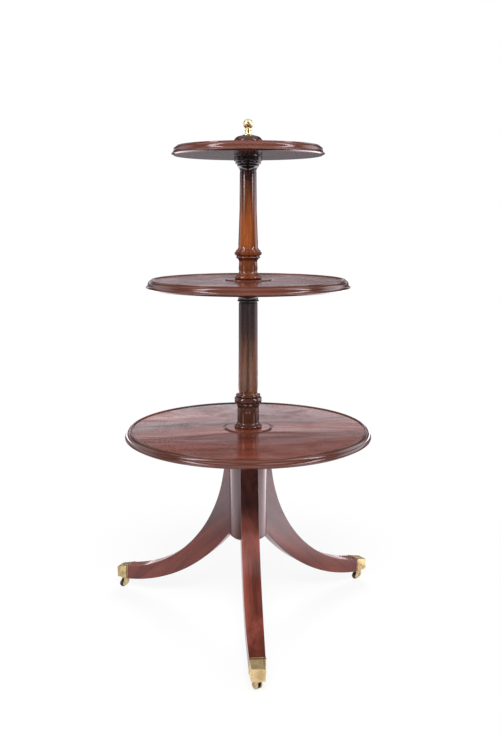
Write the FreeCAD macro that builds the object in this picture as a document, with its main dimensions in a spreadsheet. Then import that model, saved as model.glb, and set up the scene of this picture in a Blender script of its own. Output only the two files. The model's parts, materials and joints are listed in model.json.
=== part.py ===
import FreeCAD, Part
import math
import os
import Sketcher

# Three tier dumbwaiter: a stand with three revolving trays on a turned column, on a tripod of sabre
# legs with brass toe caps and casters. The origin is on the floor, on the axis of the column, +Z is
# up and the front leg points along -Y, turned a little towards +X.

DEGREE_TURN = 360
UPRIGHT = FreeCAD.Vector(0, 0, 1)
LEG_NAMES = ("front", "right", "left")

# Driving dimensions, in millimetres and degrees. Each name is an alias in the spreadsheet.
SIZES = (
    # Trays, with the heights of their undersides above the floor.
    ("bottom_tray_radius", 305.0),
    ("middle_tray_radius", 246.5),
    ("top_tray_radius", 181.0),
    ("bottom_tray_height", 473.0),
    ("middle_tray_height", 840.0),
    ("top_tray_height", 1151.5),
    ("tray_thickness", 22.0),
    ("board_thickness", 19.5),
    ("under_inset", 6.0),
    ("nose_rise", 3.0),
    ("nose_height", 2.0),
    ("nose_inset", 0.95),
    ("hollow_inset", 4.8),
    ("hollow_height", 10.4),
    ("ovolo_inset", 11.2),
    ("rim_bead_height", 2.6),
    ("rim_outer_inset", 12.0),
    ("rim_inner_inset", 16.2),
    ("rim_round", 1.0),
    ("dish_inset", 20.5),
    ("boss_radius", 56.0),
    ("boss_foot_radius", 64.0),
    # Fits.
    ("turn_gap", 0.3),
    ("running_gap", 0.08),
    ("glue_gap", 0.05),
    ("overrun", 5.0),
    # Bushes and washers.
    ("bush_wall", 2.5),
    ("washer_thickness", 1.2),
    ("washer_width", 11.0),
    # Columns.
    ("bottom_spigot_radius", 16.0),
    ("middle_spigot_radius", 14.0),
    ("top_spigot_radius", 11.0),
    ("spigot_depth", 45.0),
    ("lower_base_radius", 34.5),
    ("lower_base_height", 88.5),
    ("lower_shaft_foot_radius", 25.1),
    ("lower_shaft_head_radius", 22.9),
    ("upper_base_radius", 33.4),
    ("upper_base_height", 81.0),
    ("upper_shaft_foot_radius", 23.7),
    ("upper_shaft_head_radius", 20.2),
    ("capital_radius", 33.4),
    ("capital_height", 38.0),
    # Cap and finial on the top tray.
    ("cap_radius", 38.5),
    ("cap_height", 24.4),
    ("cap_socket_depth", 12.0),
    ("finial_height", 37.2),
    ("ball_radius", 11.6),
    ("flange_radius", 11.4),
    ("neck_radius", 6.4),
    ("stud_radius", 3.0),
    ("stud_length", 42.0),
    ("stud_in_finial", 10.0),
    # Hub and the plate under it.
    ("hub_radius", 47.0),
    ("hub_base_height", 212.5),
    ("hub_round", 6.0),
    ("plate_radius", 40.0),
    ("plate_thickness", 2.5),
    ("plate_screw_circle", 33.0),
    ("plate_screw_length", 22.0),
    # Legs, drawn pointing outward along X.
    ("leg_angle_front", -86.8),
    ("leg_angle_right", 35.3),
    ("leg_angle_left", 153.5),
    ("leg_width", 44.0),
    ("leg_toe_width", 36.4),
    ("leg_top_height", 425.0),
    ("leg_shoulder", 3.6),
    ("leg_hip_radius", 61.6),
    ("leg_hip_height", 362.4),
    ("leg_root", 9.0),
    ("tongue_root", 2.0),
    ("leg_taper_start", 130.0),
    ("leg_toe_radius", 360.5),
    ("leg_toe_top", 66.0),
    ("leg_toe_bottom", 29.6),
    ("leg_arris", 1.4),
    ("tongue_neck_width", 12.0),
    ("tongue_tail_width", 18.0),
    ("tongue_inner_radius", 28.0),
    ("tongue_height", 190.0),
    # Toe caps.
    ("toe_cap_length", 36.0),
    ("toe_cap_drop", 8.2),
    ("toe_cap_end_width", 31.4),
    ("toe_cap_wall", 1.8),
    ("toe_cap_proud", 0.4),
    ("toe_swivel_distance", 20.0),
    ("toe_cap_lip_length", 1.8),
    ("toe_cap_lip_proud", 0.6),
    ("toe_cap_arris", 1.0),
    ("toe_boss_radius", 11.5),
    ("toe_boss_height", 1.6),
    # Screws.
    ("screw_shank_radius", 1.6),
    ("screw_head_radius", 3.4),
    ("screw_head_height", 1.7),
    ("screw_head_proud", 0.2),
    ("screw_slot_width", 0.7),
    ("screw_slot_depth", 0.6),
    ("cap_screw_length", 12.0),
    # Casters.
    ("wheel_radius", 10.0),
    ("wheel_width", 7.6),
    ("wheel_round", 1.6),
    ("caster_trail", 9.0),
    ("horn_radius", 9.6),
    ("horn_disc_height", 3.4),
    ("cheek_thickness", 2.2),
    ("cheek_end_radius", 6.4),
    ("cheek_back", 7.6),
    ("cheek_front", 7.6),
    ("cheek_shoulder", 14.0),
    ("cheek_gap", 0.4),
    ("swivel_pin_radius", 2.4),
    ("swivel_head_radius", 3.8),
    ("swivel_head_height", 1.1),
    ("swivel_pin_root", 3.2),
    ("axle_radius", 1.5),
    ("axle_head_radius", 2.5),
    ("axle_head_height", 0.9),
    ("caster_angle_front", 120.0),
    ("caster_angle_right", 218.0),
    ("caster_angle_left", 228.0),
)

# Shapes of arcs, as the rise of the arc over its chord.
HALF_ROUND_SHARE = 0.46
QUARTER_ROUND_SHARE = 0.207
SOFT_ROUND_SHARE = 0.12
LOWER_SHAFT_SHARE = 0.0028
UPPER_SHAFT_SHARE = 0.0085
LEG_UNDER_SHARE = 0.1018
LEG_UPPER_SHARE = 0.15826
LEG_TAPER_SHARE = 0.00412

# Turned outlines from the bottom up: share of the radius, share of the height, rise of the arc there.
LOWER_BASE_SHARES = (
    (0.91, 0.0, 0.0),
    (0.91, 0.075, 0.42),
    (0.88, 0.075, 0.0),
    (0.88, 0.095, 0.0),
    (0.783, 0.175, -0.2),
    (0.779, 0.53, 0.0),
    (0.855, 0.655, -0.12),
    (0.872, 0.655, 0.0),
    (0.872, 0.70, 0.0),
    (0.905, 0.70, 0.0),
    (0.905, 0.872, 0.215),
    (0.84, 0.872, 0.0),
    (0.84, 0.945, 0.3),
    (0.755, 0.945, 0.0),
)
UPPER_BASE_SHARES = (
    (0.91, 0.0, 0.0),
    (0.91, 0.105, 0.35),
    (0.845, 0.105, 0.0),
    (0.845, 0.13, 0.0),
    (0.69, 0.29, -0.22),
    (0.655, 0.5, 0.0),
    (0.80, 0.612, -0.12),
    (0.82, 0.612, 0.0),
    (0.82, 0.672, 0.36),
    (0.82, 0.69, 0.0),
    (0.87, 0.69, 0.0),
    (0.985, 0.76, 0.15),
    (1.0, 0.775, 0.0),
    (0.89, 0.805, 0.0),
    (0.80, 0.86, 0.28),
    (0.79, 0.872, 0.0),
)
LOWER_CAPITAL_SHARES = (
    (0.685, 0.11, 0.0),
    (0.645, 0.145, 0.0),
    (0.645, 0.197, 0.0),
    (0.745, 0.197, 0.0),
    (0.745, 0.29, 0.4),
    (0.735, 0.31, 0.0),
    (0.85, 0.55, -0.16),
    (0.91, 0.55, 0.0),
    (0.91, 0.68, 0.0),
    (0.95, 0.7, 0.0),
    (1.0, 0.74, 0.2),
    (1.0, 0.97, 0.0),
    (0.97, 1.0, 0.2),
)
UPPER_CAPITAL_SHARES = (
    (0.72, 0.36, -0.16),
    (0.735, 0.385, 0.0),
    (0.735, 0.51, 0.33),
    (0.70, 0.51, 0.0),
    (0.70, 0.535, 0.0),
    (0.85, 0.535, 0.0),
    (0.91, 0.6, 0.2),
    (0.91, 0.69, 0.0),
    (0.96, 0.71, 0.0),
    (1.0, 0.74, 0.2),
    (1.0, 0.97, 0.0),
    (0.97, 1.0, 0.2),
)
CAP_SHARES = (
    (0.97, 0.0, 0.0),
    (1.0, 0.05, 0.2),
    (1.0, 0.15, 0.0),
    (0.96, 0.2, 0.2),
    (0.905, 0.2, 0.0),
    (0.905, 0.26, 0.0),
    (0.82, 0.66, 0.1),
    (0.53, 0.93, 0.12),
    (0.35, 1.0, 0.03),
)
# Outline of the finial below its ball: share of the flange's radius, share of the finial's height.
FINIAL_SHARES = (
    (1.0, 0.0, 0.0),
    (1.0, 0.055, 0.4),
    (0.86, 0.055, 0.0),
    (0.58, 0.14, -0.2),
    (0.52, 0.24, 0.0),
    (0.66, 0.26, 0.0),
    (0.66, 0.31, 0.4),
    (0.5, 0.325, 0.0),
)


class Size:
    """A length with its value now and the spreadsheet expression that gives it."""

    def __init__(self, value, text):
        self.value = value
        self.text = text

    def __add__(self, other):
        return Size(self.value + other.value, "(%s + %s)" % (self.text, other.text))

    def __sub__(self, other):
        return Size(self.value - other.value, "(%s - %s)" % (self.text, other.text))

    def __neg__(self):
        return Size(-self.value, "(-%s)" % self.text)

    def __mul__(self, share):
        return Size(self.value * share, "(%s * %r)" % (self.text, share))

    def __truediv__(self, share):
        return Size(self.value / share, "(%s / %r)" % (self.text, share))

    def times(self, other):
        return Size(self.value * other.value, "(%s * %s)" % (self.text, other.text))

    def over(self, other):
        return Size(self.value / other.value, "(%s / %s)" % (self.text, other.text))


def root(size):
    return Size(math.sqrt(size.value), "sqrt(%s)" % size.text)


def cosine(angle):
    return Size(math.cos(math.radians(angle.value)), "cos(%s)" % angle.text)


def sine(angle):
    return Size(math.sin(math.radians(angle.value)), "sin(%s)" % angle.text)


class Names:
    """The driving dimensions, each read by its name."""


doc = FreeCAD.newDocument("dumbwaiter")
sheet = doc.addObject("Spreadsheet::Sheet", "Sizes")
size = Names()
for row, (alias, number) in enumerate(SIZES, start=1):
    cell = "A%d" % row
    sheet.set(cell, str(number))
    sheet.setAlias(cell, alias)
    setattr(size, alias, Size(number, "Sizes." + alias))
doc.recompute()


# Helpers for sketches and features.


def plane_of(body, role):
    for feature in body.Origin.OriginFeatures:
        if feature.Role == role:
            return feature
    raise RuntimeError("no plane " + role)


def new_body(label):
    body = doc.addObject("PartDesign::Body", label)
    body.Label = label
    return body


def new_sketch(body, name, role, offset=None, turned=None):
    """A sketch on one of the body's own planes, moved along its normal and turned about the column."""
    sketch = body.newObject("Sketcher::SketchObject", name)
    sketch.AttachmentSupport = [(plane_of(body, role), "")]
    sketch.MapMode = "FlatFace"
    if turned is not None:
        upright = UPRIGHT if role == "XY_Plane" else FreeCAD.Vector(0, 1, 0)
        spin = FreeCAD.Rotation(upright, turned.value)
        sketch.AttachmentOffset = FreeCAD.Placement(FreeCAD.Vector(), spin)
        sketch.setExpression(".AttachmentOffset.Rotation.Angle", turned.text)
    if offset is not None:
        sketch.setExpression(".AttachmentOffset.Base.z", offset.text)
    return sketch


def arc_radius(start, end, bulge):
    """Radius of the arc between two outline points whose rise over its chord is bulge."""
    across = end[0] - start[0]
    up = end[1] - start[1]
    chord = root(across.times(across) + up.times(up))
    rise = abs(bulge)
    return chord * ((1 + 4 * rise * rise) / (8 * rise))


def outline_edge(start, end, radius):
    """A straight edge, or an arc that bows to the right of its travel when its bulge is positive."""
    a = FreeCAD.Vector(start[0].value, start[1].value, 0)
    b = FreeCAD.Vector(end[0].value, end[1].value, 0)
    if radius is None:
        return Part.LineSegment(a, b)
    bulge = end[2]
    side = (b - a).cross(FreeCAD.Vector(0, 0, 1)).normalize()
    middle = (a + b) * 0.5 + side * ((b - a).Length * bulge)
    if bulge > 0:
        return Part.Arc(a, middle, b)
    return Part.Arc(b, middle, a)


def draw(sketch, points):
    """Draws a closed outline through points (across, up) or (across, up, bulge), counter-clockwise."""
    zero = Size(0.0, "0")
    corners = []
    for point in points:
        bulge = point[2] if len(point) > 2 else 0.0
        corners.append((point[0] or zero, point[1] or zero, bulge))
    count = len(corners)
    first = sketch.GeometryCount
    edges = []
    ends = []
    radii = []
    for index in range(count):
        start = corners[index]
        end = corners[(index + 1) % count]
        radius = arc_radius(start, end, end[2]) if end[2] else None
        edges.append(outline_edge(start, end, radius))
        ends.append((2, 1) if end[2] < 0 else (1, 2))
        radii.append(radius)
    sketch.addGeometry(edges, False)
    bound = []
    for index in range(count):
        after = (index + 1) % count
        join = (first + index, ends[index][1], first + after, ends[after][0])
        bound.append((Sketcher.Constraint("Coincident", *join), None))
        corner = (first + index, ends[index][0])
        for kind, axis, place in (("DistanceX", -2, corners[index][0]), ("DistanceY", -1, corners[index][1])):
            if place is zero:
                bound.append((Sketcher.Constraint("PointOnObject", *corner, axis), None))
            else:
                fixed = Sketcher.Constraint(kind, -1, 1, *corner, place.value)
                bound.append((fixed, place))
        if radii[index] is not None:
            fixed = Sketcher.Constraint("Radius", first + index, radii[index].value)
            bound.append((fixed, radii[index]))
    add_constraints(sketch, bound)


def draw_circle(sketch, across, up, radius):
    """Draws a circle whose centre is at (across, up), zero for a coordinate on an axis."""
    zero = Size(0.0, "0")
    across = across or zero
    up = up or zero
    first = sketch.GeometryCount
    centre = FreeCAD.Vector(across.value, up.value, 0)
    sketch.addGeometry(Part.Circle(centre, FreeCAD.Vector(0, 0, 1), radius.value), False)
    bound = [(Sketcher.Constraint("Radius", first, radius.value), radius)]
    for kind, axis, place in (("DistanceX", -2, across), ("DistanceY", -1, up)):
        if place is zero:
            bound.append((Sketcher.Constraint("PointOnObject", first, 3, axis), None))
        else:
            bound.append((Sketcher.Constraint(kind, -1, 1, first, 3, place.value), place))
    add_constraints(sketch, bound)


def add_constraints(sketch, bound):
    """Adds constraints and binds those that have a size to the spreadsheet."""
    start = sketch.ConstraintCount
    sketch.addConstraint([constraint for constraint, place in bound])
    for step, (constraint, place) in enumerate(bound):
        if place is not None:
            sketch.setExpression("Constraints[%d]" % (start + step), place.text)


def turn(body, sketch, kind="Revolution"):
    """Turns a sketch on the XZ plane about the vertical axis, to add wood or to cut it."""
    feature = body.newObject("PartDesign::" + kind, body.Label + "_" + kind.lower())
    feature.Profile = sketch
    feature.ReferenceAxis = (sketch, ["V_Axis"])
    feature.Angle = DEGREE_TURN
    return feature


def pad(body, sketch, length, symmetric=False, back=False):
    feature = body.newObject("PartDesign::Pad", body.Label + "_pad")
    feature.Profile = sketch
    feature.setExpression("Length", length.text)
    feature.SideType = "Symmetric" if symmetric else "One side"
    feature.Reversed = back
    return feature


def pocket(body, sketch, length, symmetric=False, back=False):
    feature = body.newObject("PartDesign::Pocket", body.Label + "_pocket")
    feature.Profile = sketch
    feature.setExpression("Length", length.text)
    feature.SideType = "Symmetric" if symmetric else "One side"
    feature.Reversed = back
    return feature


def turned_points(shares, radius, foot, height):
    """Outline points from a table of shares of a radius and a height."""
    points = []
    for radius_share, height_share, bulge_share in shares:
        points.append((radius * radius_share, foot + height * height_share, bulge_share))
    return points


def lathe(label, points):
    """A turned piece from its outline on the XZ plane."""
    body = new_body(label)
    sketch = new_sketch(body, label + "_outline", "XZ_Plane")
    draw(sketch, points)
    turn(body, sketch)
    return body


def ring(label, inner, outer, foot, height):
    """A plain turned ring or tube."""
    top = foot + height
    return lathe(label, [(inner, foot), (outer, foot), (outer, top), (inner, top)])


def round_edges(body, radius, wanted):
    """Rounds the edges of the body's last feature that the wanted test picks."""
    doc.recompute()
    base = body.Tip
    names = []
    for index, edge in enumerate(base.Shape.Edges, start=1):
        if wanted(edge):
            names.append("Edge%d" % index)
    if not names:
        raise RuntimeError("no edges to round on " + body.Label)
    feature = body.newObject("PartDesign::Fillet", body.Label + "_fillet")
    feature.Base = (base, names)
    feature.setExpression("Radius", radius.text)
    return feature


def leg_angle(index):
    return getattr(size, "leg_angle_" + LEG_NAMES[index])


def opposite(angle):
    """The direction across the column from an angle."""
    return Size(angle.value + DEGREE_TURN / 2, "(%s + %d / 2)" % (angle.text, DEGREE_TURN))


def face_outward(body, angle):
    """Turns a piece drawn along X about the column's axis."""
    body.Placement = FreeCAD.Placement(FreeCAD.Vector(), FreeCAD.Rotation(UPRIGHT, angle.value))
    body.setExpression(".Placement.Rotation.Angle", angle.text)


# Heights that several pieces share.
boss_tops = {}
column_heads = {}
undersides = {
    "bottom": size.bottom_tray_height,
    "middle": size.middle_tray_height,
    "top": size.top_tray_height,
}
for tier, underside in undersides.items():
    boss_tops[tier] = underside + size.tray_thickness
    column_heads[tier] = underside - size.turn_gap - size.washer_thickness
lower_foot = boss_tops["bottom"] + size.turn_gap
upper_foot = boss_tops["middle"] + size.turn_gap
cap_foot = boss_tops["top"] + size.turn_gap
hub_top = column_heads["bottom"]
spigots = {
    "bottom": size.bottom_spigot_radius,
    "middle": size.middle_spigot_radius,
    "top": size.top_spigot_radius,
}


# Trays, their bushes and the washers that they turn on.


def make_tray(tier, radius):
    foot = undersides[tier]
    bore = spigots[tier] + size.running_gap + size.bush_wall + size.glue_gap
    top = foot + size.tray_thickness
    floor = foot + size.board_thickness
    nose_foot = foot + size.nose_rise
    nose_top = nose_foot + size.nose_height
    bead_foot = top - size.rim_bead_height
    points = [
        (bore, foot),
        (radius - size.under_inset, foot),
        (radius - size.nose_inset, nose_foot, -SOFT_ROUND_SHARE),
        (radius - size.nose_inset, nose_top, HALF_ROUND_SHARE),
        (radius - size.hollow_inset, foot + size.hollow_height, -SOFT_ROUND_SHARE),
        (radius - size.ovolo_inset, bead_foot, QUARTER_ROUND_SHARE),
        (radius - size.rim_outer_inset, bead_foot),
        (radius - size.rim_outer_inset, top - size.rim_round),
        (radius - size.rim_outer_inset - size.rim_round, top, QUARTER_ROUND_SHARE),
        (radius - size.rim_inner_inset + size.rim_round, top),
        (radius - size.rim_inner_inset, top - size.rim_round, QUARTER_ROUND_SHARE),
        (radius - size.dish_inset, floor, -SOFT_ROUND_SHARE),
        (size.boss_foot_radius, floor),
        (size.boss_radius, top - size.rim_round, -SOFT_ROUND_SHARE),
        (size.boss_radius - size.rim_round, top, QUARTER_ROUND_SHARE),
        (bore, top),
    ]
    return lathe(tier + "_tray", points)


def make_bush(tier):
    inner = spigots[tier] + size.running_gap
    return ring(tier + "_bush", inner, inner + size.bush_wall, undersides[tier], size.tray_thickness)


def make_washer(tier):
    inner = spigots[tier] + size.glue_gap
    return ring(tier + "_washer", inner, inner + size.washer_width, column_heads[tier], size.washer_thickness)


# Columns.


def make_lower_column():
    head = column_heads["middle"]
    spigot_foot = hub_top - size.spigot_depth
    hole = size.middle_spigot_radius + size.glue_gap
    points = [(0, spigot_foot), (size.bottom_spigot_radius, spigot_foot), (size.bottom_spigot_radius, lower_foot)]
    points += turned_points(LOWER_BASE_SHARES, size.lower_base_radius, lower_foot, size.lower_base_height)
    points.append((size.lower_shaft_foot_radius, lower_foot + size.lower_base_height, -SOFT_ROUND_SHARE))
    capital_foot = head - size.capital_height
    points.append((size.lower_shaft_head_radius, capital_foot, -LOWER_SHAFT_SHARE))
    points += turned_points(LOWER_CAPITAL_SHARES, size.capital_radius, capital_foot, size.capital_height)
    hole_foot = head - size.spigot_depth - size.glue_gap
    points += [(hole, head), (hole, hole_foot), (0, hole_foot)]
    return lathe("lower_column", points)


def make_upper_column():
    head = column_heads["top"]
    spigot_foot = column_heads["middle"] - size.spigot_depth
    spigot_top = cap_foot + size.cap_socket_depth
    points = [(0, spigot_foot), (size.middle_spigot_radius, spigot_foot), (size.middle_spigot_radius, upper_foot)]
    points += turned_points(UPPER_BASE_SHARES, size.upper_base_radius, upper_foot, size.upper_base_height)
    points.append((size.upper_shaft_foot_radius, upper_foot + size.upper_base_height, -SOFT_ROUND_SHARE))
    capital_foot = head - size.capital_height
    points.append((size.upper_shaft_head_radius, capital_foot, -UPPER_SHAFT_SHARE))
    points += turned_points(UPPER_CAPITAL_SHARES, size.capital_radius, capital_foot, size.capital_height)
    stud_hole = size.stud_radius + size.glue_gap
    hole_foot = stud_foot - size.glue_gap
    points += [
        (size.top_spigot_radius, head),
        (size.top_spigot_radius, spigot_top),
        (stud_hole, spigot_top),
        (stud_hole, hole_foot),
        (0, hole_foot),
    ]
    return lathe("upper_column", points)


# Turned cap, stud and ball finial.
finial_foot = cap_foot + size.cap_height
stud_top = finial_foot + size.stud_in_finial
stud_foot = stud_top - size.stud_length


def make_top_cap():
    socket = size.top_spigot_radius + size.glue_gap
    socket_top = cap_foot + size.cap_socket_depth + size.glue_gap
    stud_hole = size.stud_radius + size.glue_gap
    points = [(socket, cap_foot)]
    points += turned_points(CAP_SHARES, size.cap_radius, cap_foot, size.cap_height)
    points += [(stud_hole, finial_foot), (stud_hole, socket_top), (socket, socket_top)]
    return lathe("top_cap", points)


def make_finial():
    hole = size.stud_radius + size.glue_gap
    hole_top = stud_top + size.glue_gap
    points = [(hole, finial_foot)]
    points += turned_points(FINIAL_SHARES, size.flange_radius, finial_foot, size.finial_height)
    neck = points[-1][0]
    ball_centre = finial_foot + size.finial_height - size.ball_radius
    below = root(size.ball_radius.times(size.ball_radius) - neck.times(neck))
    points.append((neck, ball_centre - below))
    # The ball's two arcs meet at its widest.
    lower_chord = root(below.times(below) + (size.ball_radius - neck).times(size.ball_radius - neck))
    lower_rise = size.ball_radius.value - math.sqrt(size.ball_radius.value ** 2 - lower_chord.value ** 2 / 4)
    points.append((size.ball_radius, ball_centre, lower_rise / lower_chord.value))
    points.append((0, ball_centre + size.ball_radius, (math.sqrt(2) - 1) / 2))
    points += [(0, hole_top), (hole, hole_top)]
    return lathe("ball_finial", points)


def make_stud():
    return lathe(
        "finial_stud",
        [(0, stud_foot), (size.stud_radius, stud_foot), (size.stud_radius, stud_top), (0, stud_top)],
    )


# Hub with its dovetail sockets, and the plate that closes them.


def dovetail(grow, inner, outer):
    """Dovetail seen from above, neck towards the hub's rim. grow widens it for the socket."""
    neck = size.tongue_neck_width / 2 + grow
    tail = size.tongue_tail_width / 2 + grow
    return [(inner, -tail), (outer, -neck), (outer, neck), (inner, tail)]


def make_hub():
    top = hub_top
    foot = size.hub_base_height
    hole = size.bottom_spigot_radius + size.glue_gap
    hole_foot = top - size.spigot_depth - size.glue_gap
    body = lathe(
        "hub",
        [
            (0, foot),
            (size.hub_radius - size.hub_round, foot),
            (size.hub_radius, foot + size.hub_round, QUARTER_ROUND_SHARE),
            (size.hub_radius, top),
            (hole, top),
            (hole, hole_foot),
            (0, hole_foot),
        ],
    )
    grow = size.glue_gap
    for index in range(len(LEG_NAMES)):
        socket = new_sketch(body, "hub_socket", "XY_Plane", foot, leg_angle(index))
        draw(socket, dovetail(grow, size.tongue_inner_radius - grow, size.hub_radius + size.overrun))
        pocket(body, socket, size.tongue_height + grow, back=True)
        pilot = new_sketch(body, "hub_pilot", "XY_Plane", foot, opposite(leg_angle(index)))
        draw_circle(pilot, size.plate_screw_circle, 0, size.screw_shank_radius + grow)
        pocket(body, pilot, size.plate_screw_length, back=True)
    return body


def screw_section(middle, foot, grow, length, clear=None):
    """Half outline of a countersunk screw standing on its head at foot, on an upright axis at middle.

    For the hole that takes it, grow widens it and clear carries it on out past the head.
    """
    head = middle + size.screw_head_radius + grow
    shank = middle + size.screw_shank_radius + grow
    mouth = [(middle, foot), (head, foot)]
    if clear is not None:
        mouth = [(middle, foot - clear), (head, foot - clear), (head, foot)]
    return mouth + [
        (shank, foot + size.screw_head_height),
        (shank, foot + length),
        (middle, foot + length),
    ]


def hanging_section(middle, head_level, grow, length, clear=None):
    """The same half outline turned over, with its head at the top."""
    upright = screw_section(middle, -head_level, grow, length, clear)
    return [(across, -level) for across, level in reversed(upright)]


def turn_about(body, sketch, middle, kind="Revolution"):
    """Turns a sketch about an upright construction line at middle."""
    low = FreeCAD.Vector(middle.value, 0, 0)
    high = FreeCAD.Vector(middle.value, middle.value, 0)
    line = sketch.addGeometry(Part.LineSegment(low, high), True)
    bound = [
        (Sketcher.Constraint("Vertical", line), None),
        (Sketcher.Constraint("PointOnObject", line, 1, -1), None),
        (Sketcher.Constraint("DistanceX", -1, 1, line, 1, middle.value), middle),
        (Sketcher.Constraint("DistanceY", line, 1, line, 2, middle.value), middle),
    ]
    add_constraints(sketch, bound)
    feature = body.newObject("PartDesign::" + kind, body.Label + "_" + kind.lower())
    feature.Profile = sketch
    feature.ReferenceAxis = (sketch, ["Axis0"])
    feature.Angle = DEGREE_TURN
    return feature


def rectangle(low_across, high_across, low_up, high_up):
    return [(low_across, low_up), (high_across, low_up), (high_across, high_up), (low_across, high_up)]


plate_foot = size.hub_base_height - size.plate_thickness
no_gap = Size(0.0, "0")


def plate_screw_angles():
    """One screw goes up into each leg's tongue and one into the hub across from it."""
    angles = [leg_angle(index) for index in range(len(LEG_NAMES))]
    return angles + [opposite(angle) for angle in angles]


def make_plate():
    top = size.hub_base_height
    body = lathe("leg_plate", [(0, plate_foot), (size.plate_radius, plate_foot), (size.plate_radius, top), (0, top)])
    middle = size.plate_screw_circle
    through = size.plate_thickness + size.overrun
    for angle in plate_screw_angles():
        sketch = new_sketch(body, "leg_plate_sink", "XZ_Plane", turned=angle)
        draw(sketch, screw_section(middle, plate_foot, size.glue_gap, through, size.overrun))
        turn_about(body, sketch, middle, "Groove")
    return body


def make_plate_screws():
    body = new_body("plate_screws")
    body.AllowCompound = True
    middle = size.plate_screw_circle
    half = size.screw_slot_width / 2
    reach = size.screw_head_radius + size.overrun
    for angle in plate_screw_angles():
        sketch = new_sketch(body, "plate_screw_outline", "XZ_Plane", turned=angle)
        draw(sketch, screw_section(middle, plate_foot, no_gap, size.plate_screw_length))
        turn_about(body, sketch, middle)
    for angle in plate_screw_angles():
        slot = new_sketch(body, "plate_screw_slot", "XY_Plane", plate_foot + size.screw_slot_depth, angle)
        draw(slot, rectangle(middle - reach, middle + reach, -half, half))
        pocket(body, slot, size.screw_slot_depth + size.overrun)
    return body


# Legs.
leg_end = size.leg_toe_radius
cap_end = leg_end + size.toe_cap_length
cap_bottom = size.leg_toe_bottom - size.toe_cap_proud
cap_top = size.leg_toe_top + size.toe_cap_proud
cap_half_width = size.leg_toe_width / 2 + size.toe_cap_proud
swivel_radius = leg_end + size.toe_swivel_distance
cap_screw_radius = leg_end + size.toe_cap_length / 2
cap_screw_level = size.leg_toe_bottom + (size.leg_toe_top - size.leg_toe_bottom) / 2 - size.toe_cap_drop / 4
cap_screw_face = (cap_half_width + size.toe_cap_end_width / 2) / 2 + size.screw_head_proud


def toe_wedge(body, start, end, inset, kind="AdditiveWedge"):
    """A tapering block along the toe from start to end, the cap's own form drawn in by inset all round."""
    narrowing = (cap_half_width - size.toe_cap_end_width / 2).over(size.toe_cap_length)
    fall = size.toe_cap_drop.over(size.toe_cap_length)
    wedge = body.newObject("PartDesign::" + kind, body.Label + "_wedge")
    wedge.Placement = FreeCAD.Placement(FreeCAD.Vector(), FreeCAD.Rotation(UPRIGHT, -DEGREE_TURN / 4))
    half_start = cap_half_width - narrowing.times(start - leg_end) - inset
    half_end = cap_half_width - narrowing.times(end - leg_end) - inset
    low = cap_bottom + inset
    bound = {
        "Ymin": start,
        "Ymax": end,
        "Xmin": -half_start,
        "Xmax": half_start,
        "X2min": -half_end,
        "X2max": half_end,
        "Zmin": low,
        "Z2min": low,
        "Zmax": cap_top - fall.times(start - leg_end) - inset,
        "Z2max": cap_top - fall.times(end - leg_end) - inset,
    }
    for side, place in bound.items():
        setattr(wedge, side, place.value)
        wedge.setExpression(side, place.text)
    return wedge


def make_leg(index):
    name = "leg_" + LEG_NAMES[index]
    body = new_body(name)
    side = new_sketch(body, name + "_side", "XZ_Plane")
    inner = size.hub_radius - size.leg_root
    draw(
        side,
        [
            (inner, size.hub_base_height),
            (size.hub_radius, size.hub_base_height),
            (leg_end, size.leg_toe_bottom, LEG_UNDER_SHARE),
            (leg_end, size.leg_toe_top),
            (size.leg_hip_radius, size.leg_hip_height, -LEG_UPPER_SHARE),
            (size.hub_radius + size.leg_shoulder, size.leg_top_height),
            (inner, size.leg_top_height),
        ],
    )
    pad(body, side, size.leg_width, symmetric=True)
    # The sides draw in towards the toe.
    plan = new_sketch(body, name + "_plan", "XY_Plane")
    wide = size.leg_width / 2
    narrow = size.leg_toe_width / 2
    beyond = wide + size.overrun
    past = leg_end + size.overrun
    start = size.leg_taper_start
    draw(plan, [(start, wide), (leg_end, narrow, -LEG_TAPER_SHARE), (past, narrow), (past, beyond), (start, beyond)])
    draw(plan, [(start, -beyond), (past, -beyond), (past, -narrow), (leg_end, -narrow), (start, -wide, -LEG_TAPER_SHARE)])
    pocket(body, plan, size.leg_top_height + size.overrun, back=True)
    round_edges(body, size.leg_arris, long_side_edge)
    # The root is hollowed to sit against the round hub.
    hollow = new_sketch(body, name + "_hollow", "XY_Plane")
    draw_circle(hollow, 0, 0, size.hub_radius + size.glue_gap)
    pocket(body, hollow, size.leg_top_height + size.overrun, back=True)
    # Dovetail tongue that slides up into the hub.
    tongue = new_sketch(body, name + "_tongue", "XY_Plane", size.hub_base_height)
    draw(tongue, dovetail(no_gap, size.tongue_inner_radius, size.hub_radius + size.tongue_root))
    pad(body, tongue, size.tongue_height)
    # Tenon inside the toe cap.
    wall = size.toe_cap_wall + size.glue_gap
    toe_wedge(body, leg_end - size.tongue_root, cap_end - wall, wall)
    # Pilot holes for the screws.
    pilot = new_sketch(body, name + "_pilot", "XY_Plane", size.hub_base_height)
    draw_circle(pilot, size.plate_screw_circle, 0, size.screw_shank_radius + size.glue_gap)
    pocket(body, pilot, size.plate_screw_length, back=True)
    cross = new_sketch(body, name + "_cross", "XY_Plane", cap_screw_level)
    screw_holes(cross)
    turn_about(body, cross, cap_screw_radius, "Groove")
    face_outward(body, leg_angle(index))
    return body


def long_side_edge(edge):
    """True for the arrises that run down a leg, and not for those across it or at its square root."""
    box = edge.BoundBox
    runs_down = min(box.XLength, box.ZLength) > size.leg_arris.value
    return runs_down and box.YLength < size.leg_toe_width.value / 2


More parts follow.
